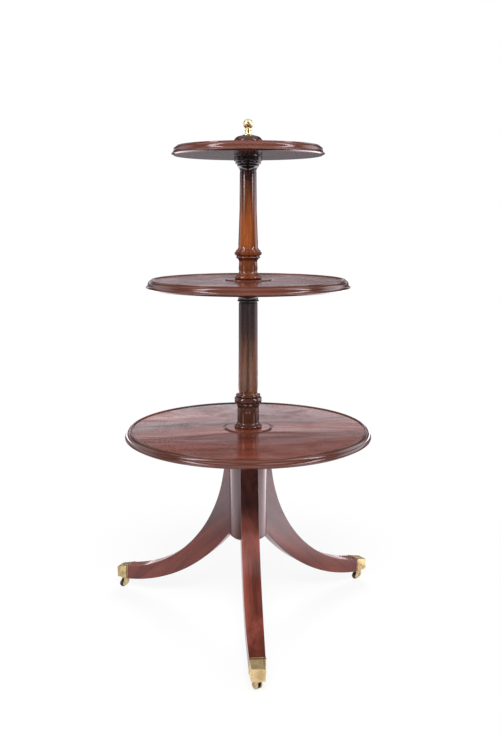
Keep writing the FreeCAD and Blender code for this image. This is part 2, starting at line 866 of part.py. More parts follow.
def screw_holes(sketch):
    """Half outlines of the holes for the toe cap's two screws."""
    length = size.cap_screw_length + size.glue_gap
    fit = (cap_screw_radius, cap_screw_face, size.glue_gap, length, size.overrun)
    draw(sketch, hanging_section(*fit))
    draw(sketch, screw_section(fit[0], -fit[1], *fit[2:]))


# Toe caps and their screws.


def make_toe_cap(index):
    name = "toe_cap_" + LEG_NAMES[index]
    body = new_body(name)
    toe_wedge(body, leg_end, cap_end, no_gap)
    round_edges(body, size.toe_cap_arris, outer_cap_edge)
    toe_wedge(body, leg_end, leg_end + size.toe_cap_lip_length, -size.toe_cap_lip_proud)
    boss = new_sketch(body, name + "_boss", "XY_Plane", cap_bottom - size.toe_boss_height)
    draw_circle(boss, swivel_radius, 0, size.toe_boss_radius)
    pad(body, boss, size.toe_boss_height + size.toe_cap_wall / 2)
    wall = size.toe_cap_wall
    toe_wedge(body, leg_end - size.tongue_root, cap_end - wall, wall, "SubtractiveWedge")
    hole = new_sketch(body, name + "_hole", "XY_Plane")
    draw_circle(hole, swivel_radius, 0, size.swivel_pin_radius + size.glue_gap)
    pocket(body, hole, cap_bottom + size.toe_cap_wall + size.glue_gap, back=True)
    sink = new_sketch(body, name + "_sink", "XY_Plane", cap_screw_level)
    screw_holes(sink)
    turn_about(body, sink, cap_screw_radius, "Groove")
    face_outward(body, leg_angle(index))
    return body


def outer_cap_edge(edge):
    return edge.BoundBox.XMax > leg_end.value + size.toe_cap_arris.value


def make_cap_screws():
    body = new_body("cap_screws")
    body.AllowCompound = True
    reach = size.screw_head_radius + size.overrun
    low = cap_screw_radius - reach
    high = cap_screw_radius + reach
    face = cap_screw_face + size.overrun
    bottom = cap_screw_face - size.screw_slot_depth
    angles = [leg_angle(index) for index in range(len(LEG_NAMES))]
    for angle in angles:
        outline = new_sketch(body, "cap_screw_outline", "XY_Plane", cap_screw_level, angle)
        screw = (cap_screw_radius, cap_screw_face, no_gap, size.cap_screw_length)
        draw(outline, hanging_section(*screw))
        draw(outline, screw_section(screw[0], -screw[1], *screw[2:]))
        turn_about(body, outline, cap_screw_radius)
    for angle in angles:
        slot = new_sketch(body, "cap_screw_slot", "XY_Plane", cap_screw_level + size.screw_slot_width / 2, angle)
        draw(slot, rectangle(low, high, -face, -bottom))
        draw(slot, rectangle(low, high, bottom, face))
        pocket(body, slot, size.screw_slot_width)
    return body


# Casters, each drawn with its swivel axis at the origin and its wheel trailing along X.
horn_top = cap_bottom - size.toe_boss_height - size.turn_gap
horn_foot = horn_top - size.horn_disc_height
fork_half_width = size.wheel_width / 2 + size.cheek_gap
cheek_face = fork_half_width + size.cheek_thickness


def place_under_toe(body, index, angle):
    """Moves a piece to the swivel axis under a toe and turns it."""
    toe = leg_angle(index)
    across = swivel_radius.times(cosine(toe))
    along = swivel_radius.times(sine(toe))
    spin = FreeCAD.Rotation(UPRIGHT, angle.value)
    body.Placement = FreeCAD.Placement(FreeCAD.Vector(across.value, along.value, 0), spin)
    body.setExpression(".Placement.Base.x", across.text)
    body.setExpression(".Placement.Base.y", along.text)
    body.setExpression(".Placement.Rotation.Angle", angle.text)


def caster_angle(index):
    return getattr(size, "caster_angle_" + LEG_NAMES[index])


def make_swivel_pin(index):
    name = "swivel_pin_" + LEG_NAMES[index]
    head_top = horn_foot - size.turn_gap
    head_foot = head_top - size.swivel_head_height
    top = cap_bottom - size.toe_boss_height + size.swivel_pin_root
    body = lathe(
        name,
        [
            (0, head_foot),
            (size.swivel_head_radius, head_foot),
            (size.swivel_head_radius, head_top),
            (size.swivel_pin_radius, head_top),
            (size.swivel_pin_radius, top),
            (0, top),
        ],
    )
    place_under_toe(body, index, leg_angle(index))
    return body


def make_horn(index):
    name = "caster_horn_" + LEG_NAMES[index]
    body = new_body(name)
    disc = new_sketch(body, name + "_disc", "XY_Plane", horn_foot)
    draw_circle(disc, 0, 0, size.horn_radius)
    pad(body, disc, size.horn_disc_height)
    cheeks = new_sketch(body, name + "_cheeks", "XZ_Plane")
    axle = size.wheel_radius
    trail = size.caster_trail
    end = size.cheek_end_radius
    top = horn_top - size.horn_disc_height / 2
    draw(
        cheeks,
        [
            (-size.cheek_back, top),
            (-size.cheek_back, size.cheek_shoulder),
            (trail, axle - end, QUARTER_ROUND_SHARE),
            (trail + end, axle, QUARTER_ROUND_SHARE),
            (size.cheek_front, horn_foot),
            (size.cheek_front, top),
        ],
    )
    pad(body, cheeks, cheek_face * 2, symmetric=True)
    fork = new_sketch(body, name + "_fork", "XZ_Plane")
    reach = trail + end + size.overrun
    draw(fork, rectangle(-reach, reach, -size.overrun, horn_foot))
    pocket(body, fork, fork_half_width * 2, symmetric=True)
    hole = new_sketch(body, name + "_hole", "XY_Plane")
    draw_circle(hole, 0, 0, size.swivel_pin_radius + size.running_gap)
    pocket(body, hole, horn_top + size.overrun, back=True)
    axle_hole = new_sketch(body, name + "_axle_hole", "XZ_Plane")
    draw_circle(axle_hole, trail, axle, size.axle_radius + size.glue_gap)
    pocket(body, axle_hole, (cheek_face + size.overrun) * 2, symmetric=True)
    place_under_toe(body, index, caster_angle(index))
    return body


def make_axle_pin(index):
    name = "axle_pin_" + LEG_NAMES[index]
    body = new_body(name)
    outline = new_sketch(body, name + "_outline", "XY_Plane", size.wheel_radius)
    middle = size.caster_trail
    end = cheek_face + size.axle_head_height
    head = middle + size.axle_head_radius
    shank = middle + size.axle_radius
    draw(
        outline,
        [
            (middle, -end),
            (head, -end),
            (head, -cheek_face),
            (shank, -cheek_face),
            (shank, cheek_face),
            (head, cheek_face),
            (head, end),
            (middle, end),
        ],
    )
    turn_about(body, outline, middle)
    place_under_toe(body, index, caster_angle(index))
    return body


def make_wheel(index):
    name = "caster_wheel_" + LEG_NAMES[index]
    body = new_body(name)
    outline = new_sketch(body, name + "_outline", "XY_Plane", size.wheel_radius)
    middle = size.caster_trail
    bore = middle + size.axle_radius + size.running_gap
    rim = middle + size.wheel_radius
    half = size.wheel_width / 2
    soft = size.wheel_round
    draw(
        outline,
        [
            (bore, -half),
            (rim - soft, -half),
            (rim, soft - half, QUARTER_ROUND_SHARE),
            (rim, half - soft),
            (rim - soft, half, QUARTER_ROUND_SHARE),
            (bore, half),
        ],
    )
    turn_about(body, outline, middle)
    place_under_toe(body, index, caster_angle(index))
    return body


# The nodes, made in the order of the assembly.
nodes = [make_hub()]
legs = range(len(LEG_NAMES))
for maker in (make_leg, make_toe_cap, make_swivel_pin, make_horn, make_axle_pin, make_wheel):
    nodes += [maker(index) for index in legs]
nodes += [make_plate(), make_plate_screws(), make_cap_screws()]
tray_radii = {
    "bottom": size.bottom_tray_radius,
    "middle": size.middle_tray_radius,
    "top": size.top_tray_radius,
}
for tier, radius in tray_radii.items():
    nodes += [make_tray(tier, radius), make_bush(tier), make_washer(tier)]
nodes += [make_lower_column(), make_upper_column(), make_top_cap(), make_finial(), make_stud()]
doc.recompute()

# Every object and every piece is checked before anything is written.
for item in doc.Objects:
    if "Invalid" in item.State or "Error" in item.State:
        raise RuntimeError("%s did not compute: %s" % (item.Label, item.State))
screws_in_a_set = {"plate_screws": len(plate_screw_angles()), "cap_screws": 2 * len(LEG_NAMES)}
for node in nodes:
    if node.Shape.isNull() or not node.Shape.isValid():
        raise RuntimeError("%s has no valid shape" % node.Label)
    if len(node.Shape.Solids) != screws_in_a_set.get(node.Label, 1):
        raise RuntimeError("%s has the wrong number of solids" % node.Label)

os.makedirs("parts", exist_ok=True)
for node in nodes:
    node.Shape.exportStep("parts/%s.step" % node.Label)
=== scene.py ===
"""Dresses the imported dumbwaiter: polished mahogany trays and columns, brass toes and a white studio."""

import json
import math

import bmesh
import bpy
from bpy.props import FloatProperty, FloatVectorProperty, IntProperty, PointerProperty
from mathutils import Matrix, Vector


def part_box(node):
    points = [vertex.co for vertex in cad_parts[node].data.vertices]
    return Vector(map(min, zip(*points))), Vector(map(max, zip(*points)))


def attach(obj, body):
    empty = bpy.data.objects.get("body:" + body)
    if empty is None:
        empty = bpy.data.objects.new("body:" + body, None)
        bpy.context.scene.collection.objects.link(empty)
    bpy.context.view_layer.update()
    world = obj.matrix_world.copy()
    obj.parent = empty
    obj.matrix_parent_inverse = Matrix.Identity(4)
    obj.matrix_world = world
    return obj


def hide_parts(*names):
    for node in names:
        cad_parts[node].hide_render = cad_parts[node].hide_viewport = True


bl_info = {
    "name": "Dumbwaiter Serving Stand",
    "version": (1, 0, 0),
    "blender": (4, 5, 0),
    "location": "View3D > Sidebar > Dumbwaiter",
    "description": "Turns and finishes a three tier serving stand on a tripod with casters",
    "category": "Object",
}

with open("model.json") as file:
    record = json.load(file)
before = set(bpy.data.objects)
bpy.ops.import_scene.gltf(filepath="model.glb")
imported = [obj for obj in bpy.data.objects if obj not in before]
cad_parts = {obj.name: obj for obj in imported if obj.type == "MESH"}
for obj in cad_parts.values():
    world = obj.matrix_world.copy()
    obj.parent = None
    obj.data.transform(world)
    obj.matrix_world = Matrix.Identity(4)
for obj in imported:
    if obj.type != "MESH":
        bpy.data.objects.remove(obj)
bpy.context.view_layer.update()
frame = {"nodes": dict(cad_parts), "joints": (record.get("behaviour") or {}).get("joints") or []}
JOINTS = {joint["name"]: joint for joint in frame["joints"]}

MM = 0.001
TIERS = ("bottom", "middle", "top")
LEGS = ("front", "right", "left")

# A corner that an arc leads to ends with the rise of that arc, as a share of its chord.
# Edge of a tray from its underside round to the dish: inset and height in mm, rise.
TRAY_EDGE = (
    (6.0, 0.0), (0.95, 3.0, -0.12), (0.95, 5.0, 0.46), (4.8, 10.4, -0.12), (11.2, 19.4, 0.207),
    (12.0, 19.4), (12.0, 21.0), (13.0, 22.0, 0.207), (15.2, 22.0), (16.2, 21.0, 0.207),
    (20.5, 19.5, -0.12),
)
# Boss in the middle of a tray: radius and height above the underside in mm, rise.
TRAY_BOSS = ((64.0, 19.5), (56.0, 21.0, -0.12), (55.0, 22.0, 0.207))
# Turned outlines from the bottom up: share of the radius, share of the height, rise.
LOWER_BASE = (
    (0.91, 0.0), (0.91, 0.075, 0.42), (0.88, 0.075), (0.88, 0.095), (0.783, 0.175, -0.2), (0.779, 0.53),
    (0.855, 0.655, -0.12), (0.872, 0.655), (0.872, 0.70), (0.905, 0.70), (0.905, 0.872, 0.215),
    (0.84, 0.872), (0.84, 0.945, 0.3), (0.755, 0.945),
)
UPPER_BASE = (
    (0.91, 0.0), (0.91, 0.105, 0.35), (0.845, 0.105), (0.845, 0.13), (0.69, 0.29, -0.22), (0.655, 0.5),
    (0.80, 0.612, -0.12), (0.82, 0.612), (0.82, 0.672, 0.36), (0.82, 0.69), (0.87, 0.69),
    (0.985, 0.76, 0.15), (1.0, 0.775), (0.89, 0.805), (0.80, 0.86, 0.28), (0.79, 0.872),
)
LOWER_CAPITAL = (
    (0.685, 0.11), (0.645, 0.145), (0.645, 0.197), (0.745, 0.197), (0.745, 0.29, 0.4), (0.735, 0.31),
    (0.85, 0.55, -0.16), (0.91, 0.55), (0.91, 0.68), (0.95, 0.7), (1.0, 0.74, 0.2), (1.0, 0.97),
    (0.97, 1.0, 0.2),
)
UPPER_CAPITAL = (
    (0.72, 0.36, -0.16), (0.735, 0.385), (0.735, 0.51, 0.33), (0.70, 0.51), (0.70, 0.535), (0.85, 0.535),
    (0.91, 0.6, 0.2), (0.91, 0.69), (0.96, 0.71), (1.0, 0.74, 0.2), (1.0, 0.97), (0.97, 1.0, 0.2),
)
CAP = (
    (0.97, 0.0), (1.0, 0.05, 0.2), (1.0, 0.15), (0.96, 0.2, 0.2), (0.905, 0.2), (0.905, 0.26),
    (0.82, 0.66, 0.1), (0.53, 0.93, 0.12), (0.35, 1.0, 0.03),
)
FINIAL = (
    (1.0, 0.0), (1.0, 0.055, 0.4), (0.86, 0.055), (0.58, 0.14, -0.2), (0.52, 0.24), (0.66, 0.26),
    (0.66, 0.31, 0.4), (0.5, 0.325),
)
# Rise of a quarter circle.
QUARTER = 0.207
PIN_RISE = 0.14
# Bends that are shaded as edges, and the step along an arc.
CREASE = math.radians(40)
ARC_STEP = math.radians(10)
# Joints between columns, cap and finial: the gap round a pin, a column's gap over a tray, radii and depths.
FIT = 0.05 * MM
TRAY_CLEARANCE = 0.3 * MM
LOWER_SPIGOT = 16 * MM
UPPER_SPIGOT = 14 * MM
CAP_SPIGOT = 11 * MM
STUD = 3 * MM
COLUMN_SOCKET = 45 * MM
CAP_SOCKET = 12 * MM
FINIAL_FOOT = 11.4 * MM
BALL_STEPS = 24
WHEEL_STEPS = 72
PIN_STEPS = 32
WELD = 0.00001
# Arcs of the columns' shafts: the cove at a foot and the slight swelling of each shaft.
SHAFT_COVE = -0.12
LOWER_ENTASIS = -0.0028
UPPER_ENTASIS = -0.0085
# Screws: how far out and aside they stand in the toe caps, the ring of those in the plate, and lengths.
CAP_SCREW_OUT = 378.5 * MM
CAP_SCREW_ASIDE = 17.25 * MM
CAP_SCREW_LENGTH = 12 * MM
PLATE_SCREW_RING = 33 * MM
PLATE_SCREW_SINK = 0.2 * MM
PLATE_SCREW_LENGTH = 22 * MM
# A toe cap's dirty groove, from the cap's inner end.
CAP_GROOVE = 5.5 * MM
# Face of a wheel: radius in mm and, as a share, how much of the recess is cut there.
WHEEL_FACE = ((1.58, 0), (3.6, 0), (4.0, 1), (7.0, 1), (7.4, 0), (8.4, 0))
WHEEL_RADIUS = 10 * MM
WHEEL_HALF = 3.8 * MM
WHEEL_SHOULDER = 1.6 * MM
# Axle pin: radius, radius of its heads, where the heads begin, and how far they are domed.
PIN_RADIUS = 1.5 * MM
PIN_HEAD = 2.5 * MM
PIN_FACE = 6.4 * MM
PIN_DOME = 0.9 * MM
# Colours laid over the wood and metal: black painted shade on the capitals and brown painted shade below
# them, where the trays shade the columns; a darker brown at a column's foot; dirt in a groove; and iron.
CAPITAL_SHADE = (0.006, 0.004, 0.004)
NECK_SHADE = (0.018, 0.010, 0.009)
FOOT_DARK = (0.040, 0.013, 0.009)
GROOVE_BROWN = (0.08, 0.035, 0.015)
PLATE_IRON = (0.05, 0.045, 0.042)
RIM_WIDTH = 18 * MM
# Radii over which the painted shade round a tray's boss ends and begins.
BOSS_SHADE_RING = ((67 * MM, 63 * MM), (50 * MM, 54 * MM))
# Where the rim's stain, a groove's dirt, a column's painted shade below and on its capital, its darker foot
# and its haze begin and end, from their place.
RIM_SPAN = (-2 * MM, 1 * MM)
GROOVE_SPAN = (2.4 * MM, 1.0 * MM)
NECK_SHADE_SPAN = (-105 * MM, -35 * MM)
CAPITAL_SHADE_SPAN = (-2 * MM, 3 * MM)
FOOT_SPAN = (4 * MM, -12 * MM)
HAZE_SPAN = (2 * MM, 14 * MM)
# How much darker foot, painted shade below the capital and haze each column has.
COLUMN_SHADE_AND_HAZE = {
    "lower": {"foot_darkening": 0.88, "shaft_haze": 0.24, "neck_shade": 0.8},
    "upper": {"foot_darkening": 0.6, "shaft_haze": 0.06, "neck_shade": 0.25},
}
# Turn of each tray's grain, in radians.
TRAY_TURNS = {"bottom": 0.06, "middle": -0.35, "top": 0.5}
GRAIN_UPRIGHT = (0.0, math.pi / 2, 0.0)
GRAIN_ALONG_LEG = math.radians(42)
# Lamps: name, setting that holds the power, place, point faced, width and height.
LAMPS = (
    ("left softbox", "softbox", (-1.5, -1.6, 2.2), (0.0, 0.0, 0.7), 1.0, 1.0),
    ("right softbox", "softbox", (1.6, -1.4, 2.2), (0.0, 0.0, 0.7), 1.0, 1.0),
    ("key lamp", "key", (0.0, -1.85, 2.1), (0.0, 0.0, 0.7), 1.0, 0.8),
    ("overhead lamp", "overhead", (0.0, 0.0, 3.2), (0.0, 0.0, 0.4), 2.4, 2.4),
    ("back lamp", "back", (0.3, 2.3, 1.9), (0.0, 0.0, 0.6), 1.6, 1.2),
)
# Camera: place in metres, tilt in degrees, lens in mm. Floor and wall in metres.
CAMERA_PLACE = (0.0, -2.1117, 1.0108)
CAMERA_DOWN = 10.33
CAMERA_LENS = 41.755
CAMERA_SHIFT = 0.00248
FLOOR_HALF = 6.0
FLOOR_DROP = 0.0004
WALL_RADIUS = 4.5
WALL_HEIGHT = 6.0
WALL_MIDDLE = 2.9
# Bright strips of the wall that polish mirrors: azimuth from the camera's side and half width, in degrees.
STRIPS = ((-55.0, 9.0), (66.0, 8.0))
WALL_TINT = (0.97, 0.89, 0.96, 1.0)
FLOOR_TINT = (1.0, 0.85, 0.90)
# Heights over which the wall's bright band rises and falls, and its ceiling begins, in metres.
BAND_RISE = (1.29, 1.42)
BAND_FALL = (1.42, 1.74)
CEILING_RISE = (5.5, 5.8)
# Where the wall's bright sides and strips begin, in metres.
SIDE_ACROSS = (2.8, 4.0)
SIDE_BACK = (-0.6, 0.8)
SIDE_HEIGHT = (4.6, 3.2)
STRIP_HEIGHT = (0.8, 2.3)
STRIP_REACH = (2.4, 3.4)
# Parts of the floor that glow as painted light, seen only in mirrors: where each begins and ends beside the
# middle, and towards the camera, in metres.
GLOW_LEFT = ((0.35, 0.9), (1.4, 2.2))
GLOW_RIGHT = ((0.3, 0.7), (1.1, 1.9))
GLOW_NEAR = (-1.15, -0.7)
# Distances over which the shadow on the floor fades, and how white the floor is in the middle.
SHADOW_FADE = (0.45, 1.1)
FLOOR_WHITE = 0.86


def low(node):
    """Height of a node's lowest point."""
    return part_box(node)[0][2]


def high(node):
    """Height of a node's highest point."""
    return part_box(node)[1][2]


def wide(node):
    """Half of a round node's width."""
    start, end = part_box(node)
    return (end[0] - start[0]) / 2


# What a user of the panel may change.


def length(name, description, default):
    return FloatProperty(name=name, description=description, default=default, unit="LENGTH", precision=5)


def power(name, description, default):
    return FloatProperty(name=name, description=description, default=default, unit="POWER")


def share(name, description, default, top=1.0):
    return FloatProperty(name=name, description=description, default=default, min=0.0, max=top)


def reflection(name, where, default, top=5.0):
    return share(name, "Brightness that polish mirrors from " + where, default, top)


def facets(what, default):
    return IntProperty(name="Steps", description="Facets round a " + what, default=default, min=24)


def colour(name, description, default):
    return FloatVectorProperty(
        name=name, description=description, default=default, size=3, min=0.0, max=1.0, subtype="COLOR"
    )


class TraySettings(bpy.types.PropertyGroup):
    """Sizes of the three dished trays."""

    bottom_radius: length("Bottom Radius", "Radius of the bottom tray", wide("bottom_tray"))
    middle_radius: length("Middle Radius", "Radius of the middle tray", wide("middle_tray"))
    top_radius: length("Top Radius", "Radius of the top tray", wide("top_tray"))
    steps: facets("tray", 224)


class ColumnSettings(bpy.types.PropertyGroup):
    """Sizes of the two turned columns, the cap and the ball finial."""

    base_radius: length("Lower Base Radius", "Widest radius of the lower column's base", 0.0345)
    base_height: length("Lower Base Height", "Height of the lower column's turned base", 0.0885)
    shaft_foot: length("Lower Shaft Foot", "Radius of the lower shaft at its foot", 0.0251)
    shaft_head: length("Lower Shaft Head", "Radius of the lower shaft at its head", 0.0229)
    upper_base_radius: length("Upper Base Radius", "Widest radius of the upper column's base", 0.0334)
    upper_base_height: length("Upper Base Height", "Height of the upper column's turned base", 0.081)
    upper_shaft_foot: length("Upper Shaft Foot", "Radius of the upper shaft at its foot", 0.0237)
    upper_shaft_head: length("Upper Shaft Head", "Radius of the upper shaft at its head", 0.0202)
    capital_radius: length("Capital Radius", "Radius of both capitals", 0.0334)
    capital_height: length("Capital Height", "Height of both capitals", 0.038)
    ball_radius: length("Ball Radius", "Radius of the finial's ball", 0.0116)
    steps: facets("column", 96)


class CasterSettings(bpy.types.PropertyGroup):
    """Sizes of the casters and screws."""

    tread_crown: length("Tread Crown", "How far the middle of a tread stands above its edges", 0.0004)
    face_recess: length("Face Recess", "Depth of the ring cut in a wheel's face", 0.0008)
    edge_round: length("Edge Rounding", "Width of the rounding on cast brass edges", 0.0004)
    head_radius: length("Screw Head", "Radius of a screw's head", 0.0034)
    slot_width: length("Screw Slot", "Width of the slot across a screw", 0.0007)
    dome: length("Screw Dome", "How far a screw's head is domed", 0.0002)


class WoodSettings(bpy.types.PropertyGroup):
    """Colours and polish of the mahogany."""

    tray_dark: colour("Tray Dark", "Darker bands of the tray tops", (0.052, 0.013, 0.009))
    tray_light: colour("Tray Light", "Lighter bands of the tray tops", (0.196, 0.046, 0.026))
    # This colour is also laid as painted shade on each tray's boss.
    rim: colour("Tray Rim", "Browner stain of the tray rims", (0.060, 0.022, 0.015))
    lower_dark: colour("Lower Column Dark", "Darker bands of the lower column", (0.040, 0.017, 0.008))
    lower_light: colour("Lower Column Light", "Lighter bands of the lower column", (0.215, 0.076, 0.027))
    upper_dark: colour("Upper Column Dark", "Darker bands of the upper column", (0.092, 0.022, 0.006))
    upper_light: colour("Upper Column Light", "Lighter bands of the upper column", (0.285, 0.074, 0.014))
    cap_dark: colour("Cap Dark", "Darker bands of the cap", (0.014, 0.005, 0.004))
    cap_light: colour("Cap Light", "Lighter bands of the cap", (0.040, 0.012, 0.009))
    leg_dark: colour("Leg Dark", "Darker bands of the hub and legs", (0.110, 0.028, 0.020))
    leg_light: colour("Leg Light", "Lighter bands of the hub and legs", (0.320, 0.084, 0.060))
    # Black painted shade on the capitals, which lie in the shade of the trays above.
    ebony: share("Ebony", "How much darker the capitals are than the shafts", 0.97)
    polish_roughness: share("Polish Roughness", "Roughness of the polish", 0.09)
    swell: length("Swell", "How unevenly the polished boards have moved", 0.0009)


class BrassSettings(bpy.types.PropertyGroup):
    """Colours of the brass, the treads and the steel."""

    bright: colour("Bright Brass", "Brass where it is rubbed bright", (0.96, 0.85, 0.44))
    dull: colour("Dull Brass", "Brass where it has darkened", (0.56, 0.42, 0.19))
    tread: colour("Tread", "Dark tread of the wheels", (0.022, 0.018, 0.016))
    steel: colour("Steel", "Steel of the screws and washers", (0.42, 0.41, 0.39))


class StageSettings(bpy.types.PropertyGroup):
    """Floor, background, lamps and what polish mirrors."""

    floor: colour("Floor", "Colour of the floor", (0.78, 0.78, 0.78))
    background: colour("Background", "Colour that the camera sees behind the object", (1.0, 1.0, 1.0))
    surround: share("Surround", "Strength of the even light from all round", 0.075, 5.0)
    softbox: power("Softbox", "Power of each softbox", 9.0)
    key: power("Key", "Power of the lamp in front and above", 86.0)
    overhead: power("Overhead", "Power of the lamp above", 5.0)
    back: power("Back", "Power of the lamp behind", 68.0)
    wall_low: reflection("Wall Low", "low on the studio wall", 0.22)
    wall_band: reflection("Wall Band", "the wall's bright band", 1.7)
    wall_high: reflection("Wall High", "high on the wall", 0.10)
    wall_front: reflection("Wall Front", "the side of the camera", 0.18)
    wall_right: reflection("Wall Right", "the right of the wall", 2.8, 10.0)
    wall_left: reflection("Wall Left", "the left of the wall", 1.3, 10.0)
    strips: reflection("Strips", "the two tall strips", 13.0, 20.0)
    ceiling: reflection("Ceiling", "the ceiling", 1.0)
    floor_left: reflection("Floor Left", "the floor on the left", 4.0, 10.0)
    floor_right: reflection("Floor Right", "the floor on the right", 5.3, 10.0)


SETTINGS = (TraySettings, ColumnSettings, CasterSettings, WoodSettings, BrassSettings, StageSettings)


class StandSettings(bpy.types.PropertyGroup):
    """All settings of the stand."""

    trays: PointerProperty(type=TraySettings)
    columns: PointerProperty(type=ColumnSettings)
    casters: PointerProperty(type=CasterSettings)
    wood: PointerProperty(type=WoodSettings)
    brass: PointerProperty(type=BrassSettings)
    stage: PointerProperty(type=StageSettings)


# Outlines.


def arc(start, end, bulge):
    """Points after start up to end, on an arc that bows right of its travel for a positive bulge."""
    if not bulge:
        return [end]
    across = end[0] - start[0]
    up = end[1] - start[1]
    sweep = 4 * math.atan(2 * bulge)
    reach = 0.5 / math.tan(sweep / 2)
    centre_x = (start[0] + end[0]) / 2 - up * reach
    centre_z = (start[1] + end[1]) / 2 + across * reach
    count = max(2, math.ceil(abs(sweep) / ARC_STEP))
    points = []
    for index in range(1, count):
        angle = sweep * index / count
        x = start[0] - centre_x
        z = start[1] - centre_z
        turned_x = centre_x + x * math.cos(angle) - z * math.sin(angle)
        turned_z = centre_z + x * math.sin(angle) + z * math.cos(angle)
        points.append((turned_x, turned_z))
    return points + [end]


def outline(corners):
    """A line of points through corners (radius, height) or (radius, height, rise) whose arcs are divided."""
    points = [corners[0][:2]]
    for corner in corners[1:]:
        points += arc(points[-1], corner[:2], corner[2] if len(corner) > 2 else 0.0)
    return points


def scaled(table, radius, foot, height):
    """Corners from a table of shares of a radius and a height."""
    return [(radius * across, foot + height * up, *rise) for across, up, *rise in table]


def tray_outline(radius, bore, foot):
    """A tray's section. Extra points beside its flats keep them flat when their edges are smoothed."""
    rim = radius - TRAY_EDGE[0][0] * MM
    dish = foot + TRAY_EDGE[-1][1] * MM
    top = foot + TRAY_BOSS[-1][1] * MM
    corners = [(bore, foot), (rim - 1 * MM, foot)]
    corners += [(radius - inset * MM, foot + height * MM, *rise) for inset, height, *rise in TRAY_EDGE]
    corners += [(radius - (TRAY_EDGE[-1][0] + 1) * MM, dish), ((TRAY_BOSS[0][0] + 1) * MM, dish)]
    corners += [(across * MM, foot + height * MM, *rise) for across, height, *rise in TRAY_BOSS]
    corners += [((TRAY_BOSS[-1][0] - 1) * MM, top), (bore, top), (bore, foot)]
    return outline(corners)


def column_outline(name, columns):
    """A column's section, from its spigot up to the hole in its head, or to its own upper spigot."""
    node = name + "_column"
    spigot = low(node)
    top = high(node)
    if name == "lower":
        foot, head, radius, entasis = high("bottom_tray"), top, LOWER_SPIGOT, LOWER_ENTASIS
        base, capital, kind = LOWER_BASE, LOWER_CAPITAL, ""
        hole = UPPER_SPIGOT + FIT
        bottom = head - COLUMN_SOCKET - FIT
        inside = [(hole, head), (hole, bottom), (0, bottom)]
    else:
        foot, head, radius, entasis = high("middle_tray"), low("top_washer"), UPPER_SPIGOT, UPPER_ENTASIS
        base, capital, kind = UPPER_BASE, UPPER_CAPITAL, "upper_"
        hole = STUD + FIT
        stud = low("finial_stud") - FIT
        inside = [(CAP_SPIGOT, head), (CAP_SPIGOT, top), (hole, top), (hole, stud), (0, stud)]
    foot += TRAY_CLEARANCE
    base_radius, base_height, shaft_foot, shaft_head = (
        getattr(columns, kind + size) for size in ("base_radius", "base_height", "shaft_foot", "shaft_head")
    )
    neck = head - columns.capital_height
    corners = [(0, spigot), (radius, spigot), (radius, foot)]
    corners += scaled(base, base_radius, foot, base_height)
    corners += [(shaft_foot, foot + base_height, SHAFT_COVE), (shaft_head, neck, entasis)]
    corners += scaled(capital, columns.capital_radius, neck, columns.capital_height)
    return outline(corners + inside)


def points_top(points):
    """Height at which an outline is widest above its middle, which is the top of a column's capital."""
    middle = (points[0][1] + max(up for across, up in points)) / 2
    upper = [(across, up) for across, up in points if up > middle]
    widest = max(across for across, up in upper)
    return max(up for across, up in upper if across > widest - 0.1 * MM)


def cap_outline():
    foot = low("top_cap")
    height = high("top_cap") - foot
    socket = CAP_SPIGOT + FIT
    hole = STUD + FIT
    roof = foot + CAP_SOCKET + FIT
    corners = [(socket, foot)] + scaled(CAP, wide("top_cap"), foot, height)
    corners += [(hole, foot + height), (hole, roof), (socket, roof), (socket, foot)]
    return outline(corners)


def finial_outline(columns):
    foot = low("ball_finial")
    height = high("ball_finial") - foot
    ball = columns.ball_radius
    hole = STUD + FIT
    centre = foot + height - ball
    corners = [(hole, foot)] + scaled(FINIAL, FINIAL_FOOT, foot, height)
    neck = corners[-1][0]
    points = outline(corners)
    start = math.asin(-math.sqrt(ball * ball - neck * neck) / ball)
    for index in range(BALL_STEPS + 1):
        angle = start + (math.pi / 2 - start) * index / BALL_STEPS
        points.append((ball * math.cos(angle), centre + ball * math.sin(angle)))
    bore = high("finial_stud") + FIT
    return points + [(0, bore), (hole, bore), (hole, foot)]


def wheel_outline(casters):
    """Half of a wheel's section, on its own axis."""
    recess = casters.face_recess
    near = [(across * MM, -WHEEL_HALF + recess * cut) for across, cut in WHEEL_FACE]
    far = [(across, -up) for across, up in reversed(near)]
    tread = WHEEL_RADIUS - casters.tread_crown
    edge = WHEEL_HALF - WHEEL_SHOULDER
    corners = near + [(tread, -edge, QUARTER), (tread, edge, casters.tread_crown / (2 * edge))]
    corners += [(*far[0], QUARTER)] + far[1:] + near[:1]
    return outline(corners)


def pin_outline():
    """Half of an axle pin's section, with domed heads."""
    end = PIN_FACE + PIN_DOME
    corners = [
        (0, -end), (PIN_HEAD, -PIN_FACE, PIN_RISE), (PIN_RADIUS, -PIN_FACE), (PIN_RADIUS, PIN_FACE),
        (PIN_HEAD, PIN_FACE), (0, end, PIN_RISE),
    ]
    return outline(corners)


# Node trees.


def is_socket(value):
    """Whether a value is a node's socket, and not plain."""
    return hasattr(value, "is_output")


def tree_of(*values):
    """The node tree of the first socket among values."""
    return next(value.id_data for value in values if is_socket(value))


def feed(target, value):
    """Links a socket to an input, or sets the input to a plain value."""
    if is_socket(value):
        target.id_data.links.new(value, target)
    else:
        target.default_value = value


def fill(node, **inputs):
    """Feeds the named inputs of a node with sockets or plain values."""
    for name, value in inputs.items():
        feed(node.inputs[name.replace("_", " ")], value)
    return node


def add_node(tree, kind, settings=None, **inputs):
    """A node of a kind, with its settings made and its named inputs fed."""
    node = tree.nodes.new(kind)
    for name, value in (settings or {}).items():
        setattr(node, name, value)
    return fill(node, **inputs)


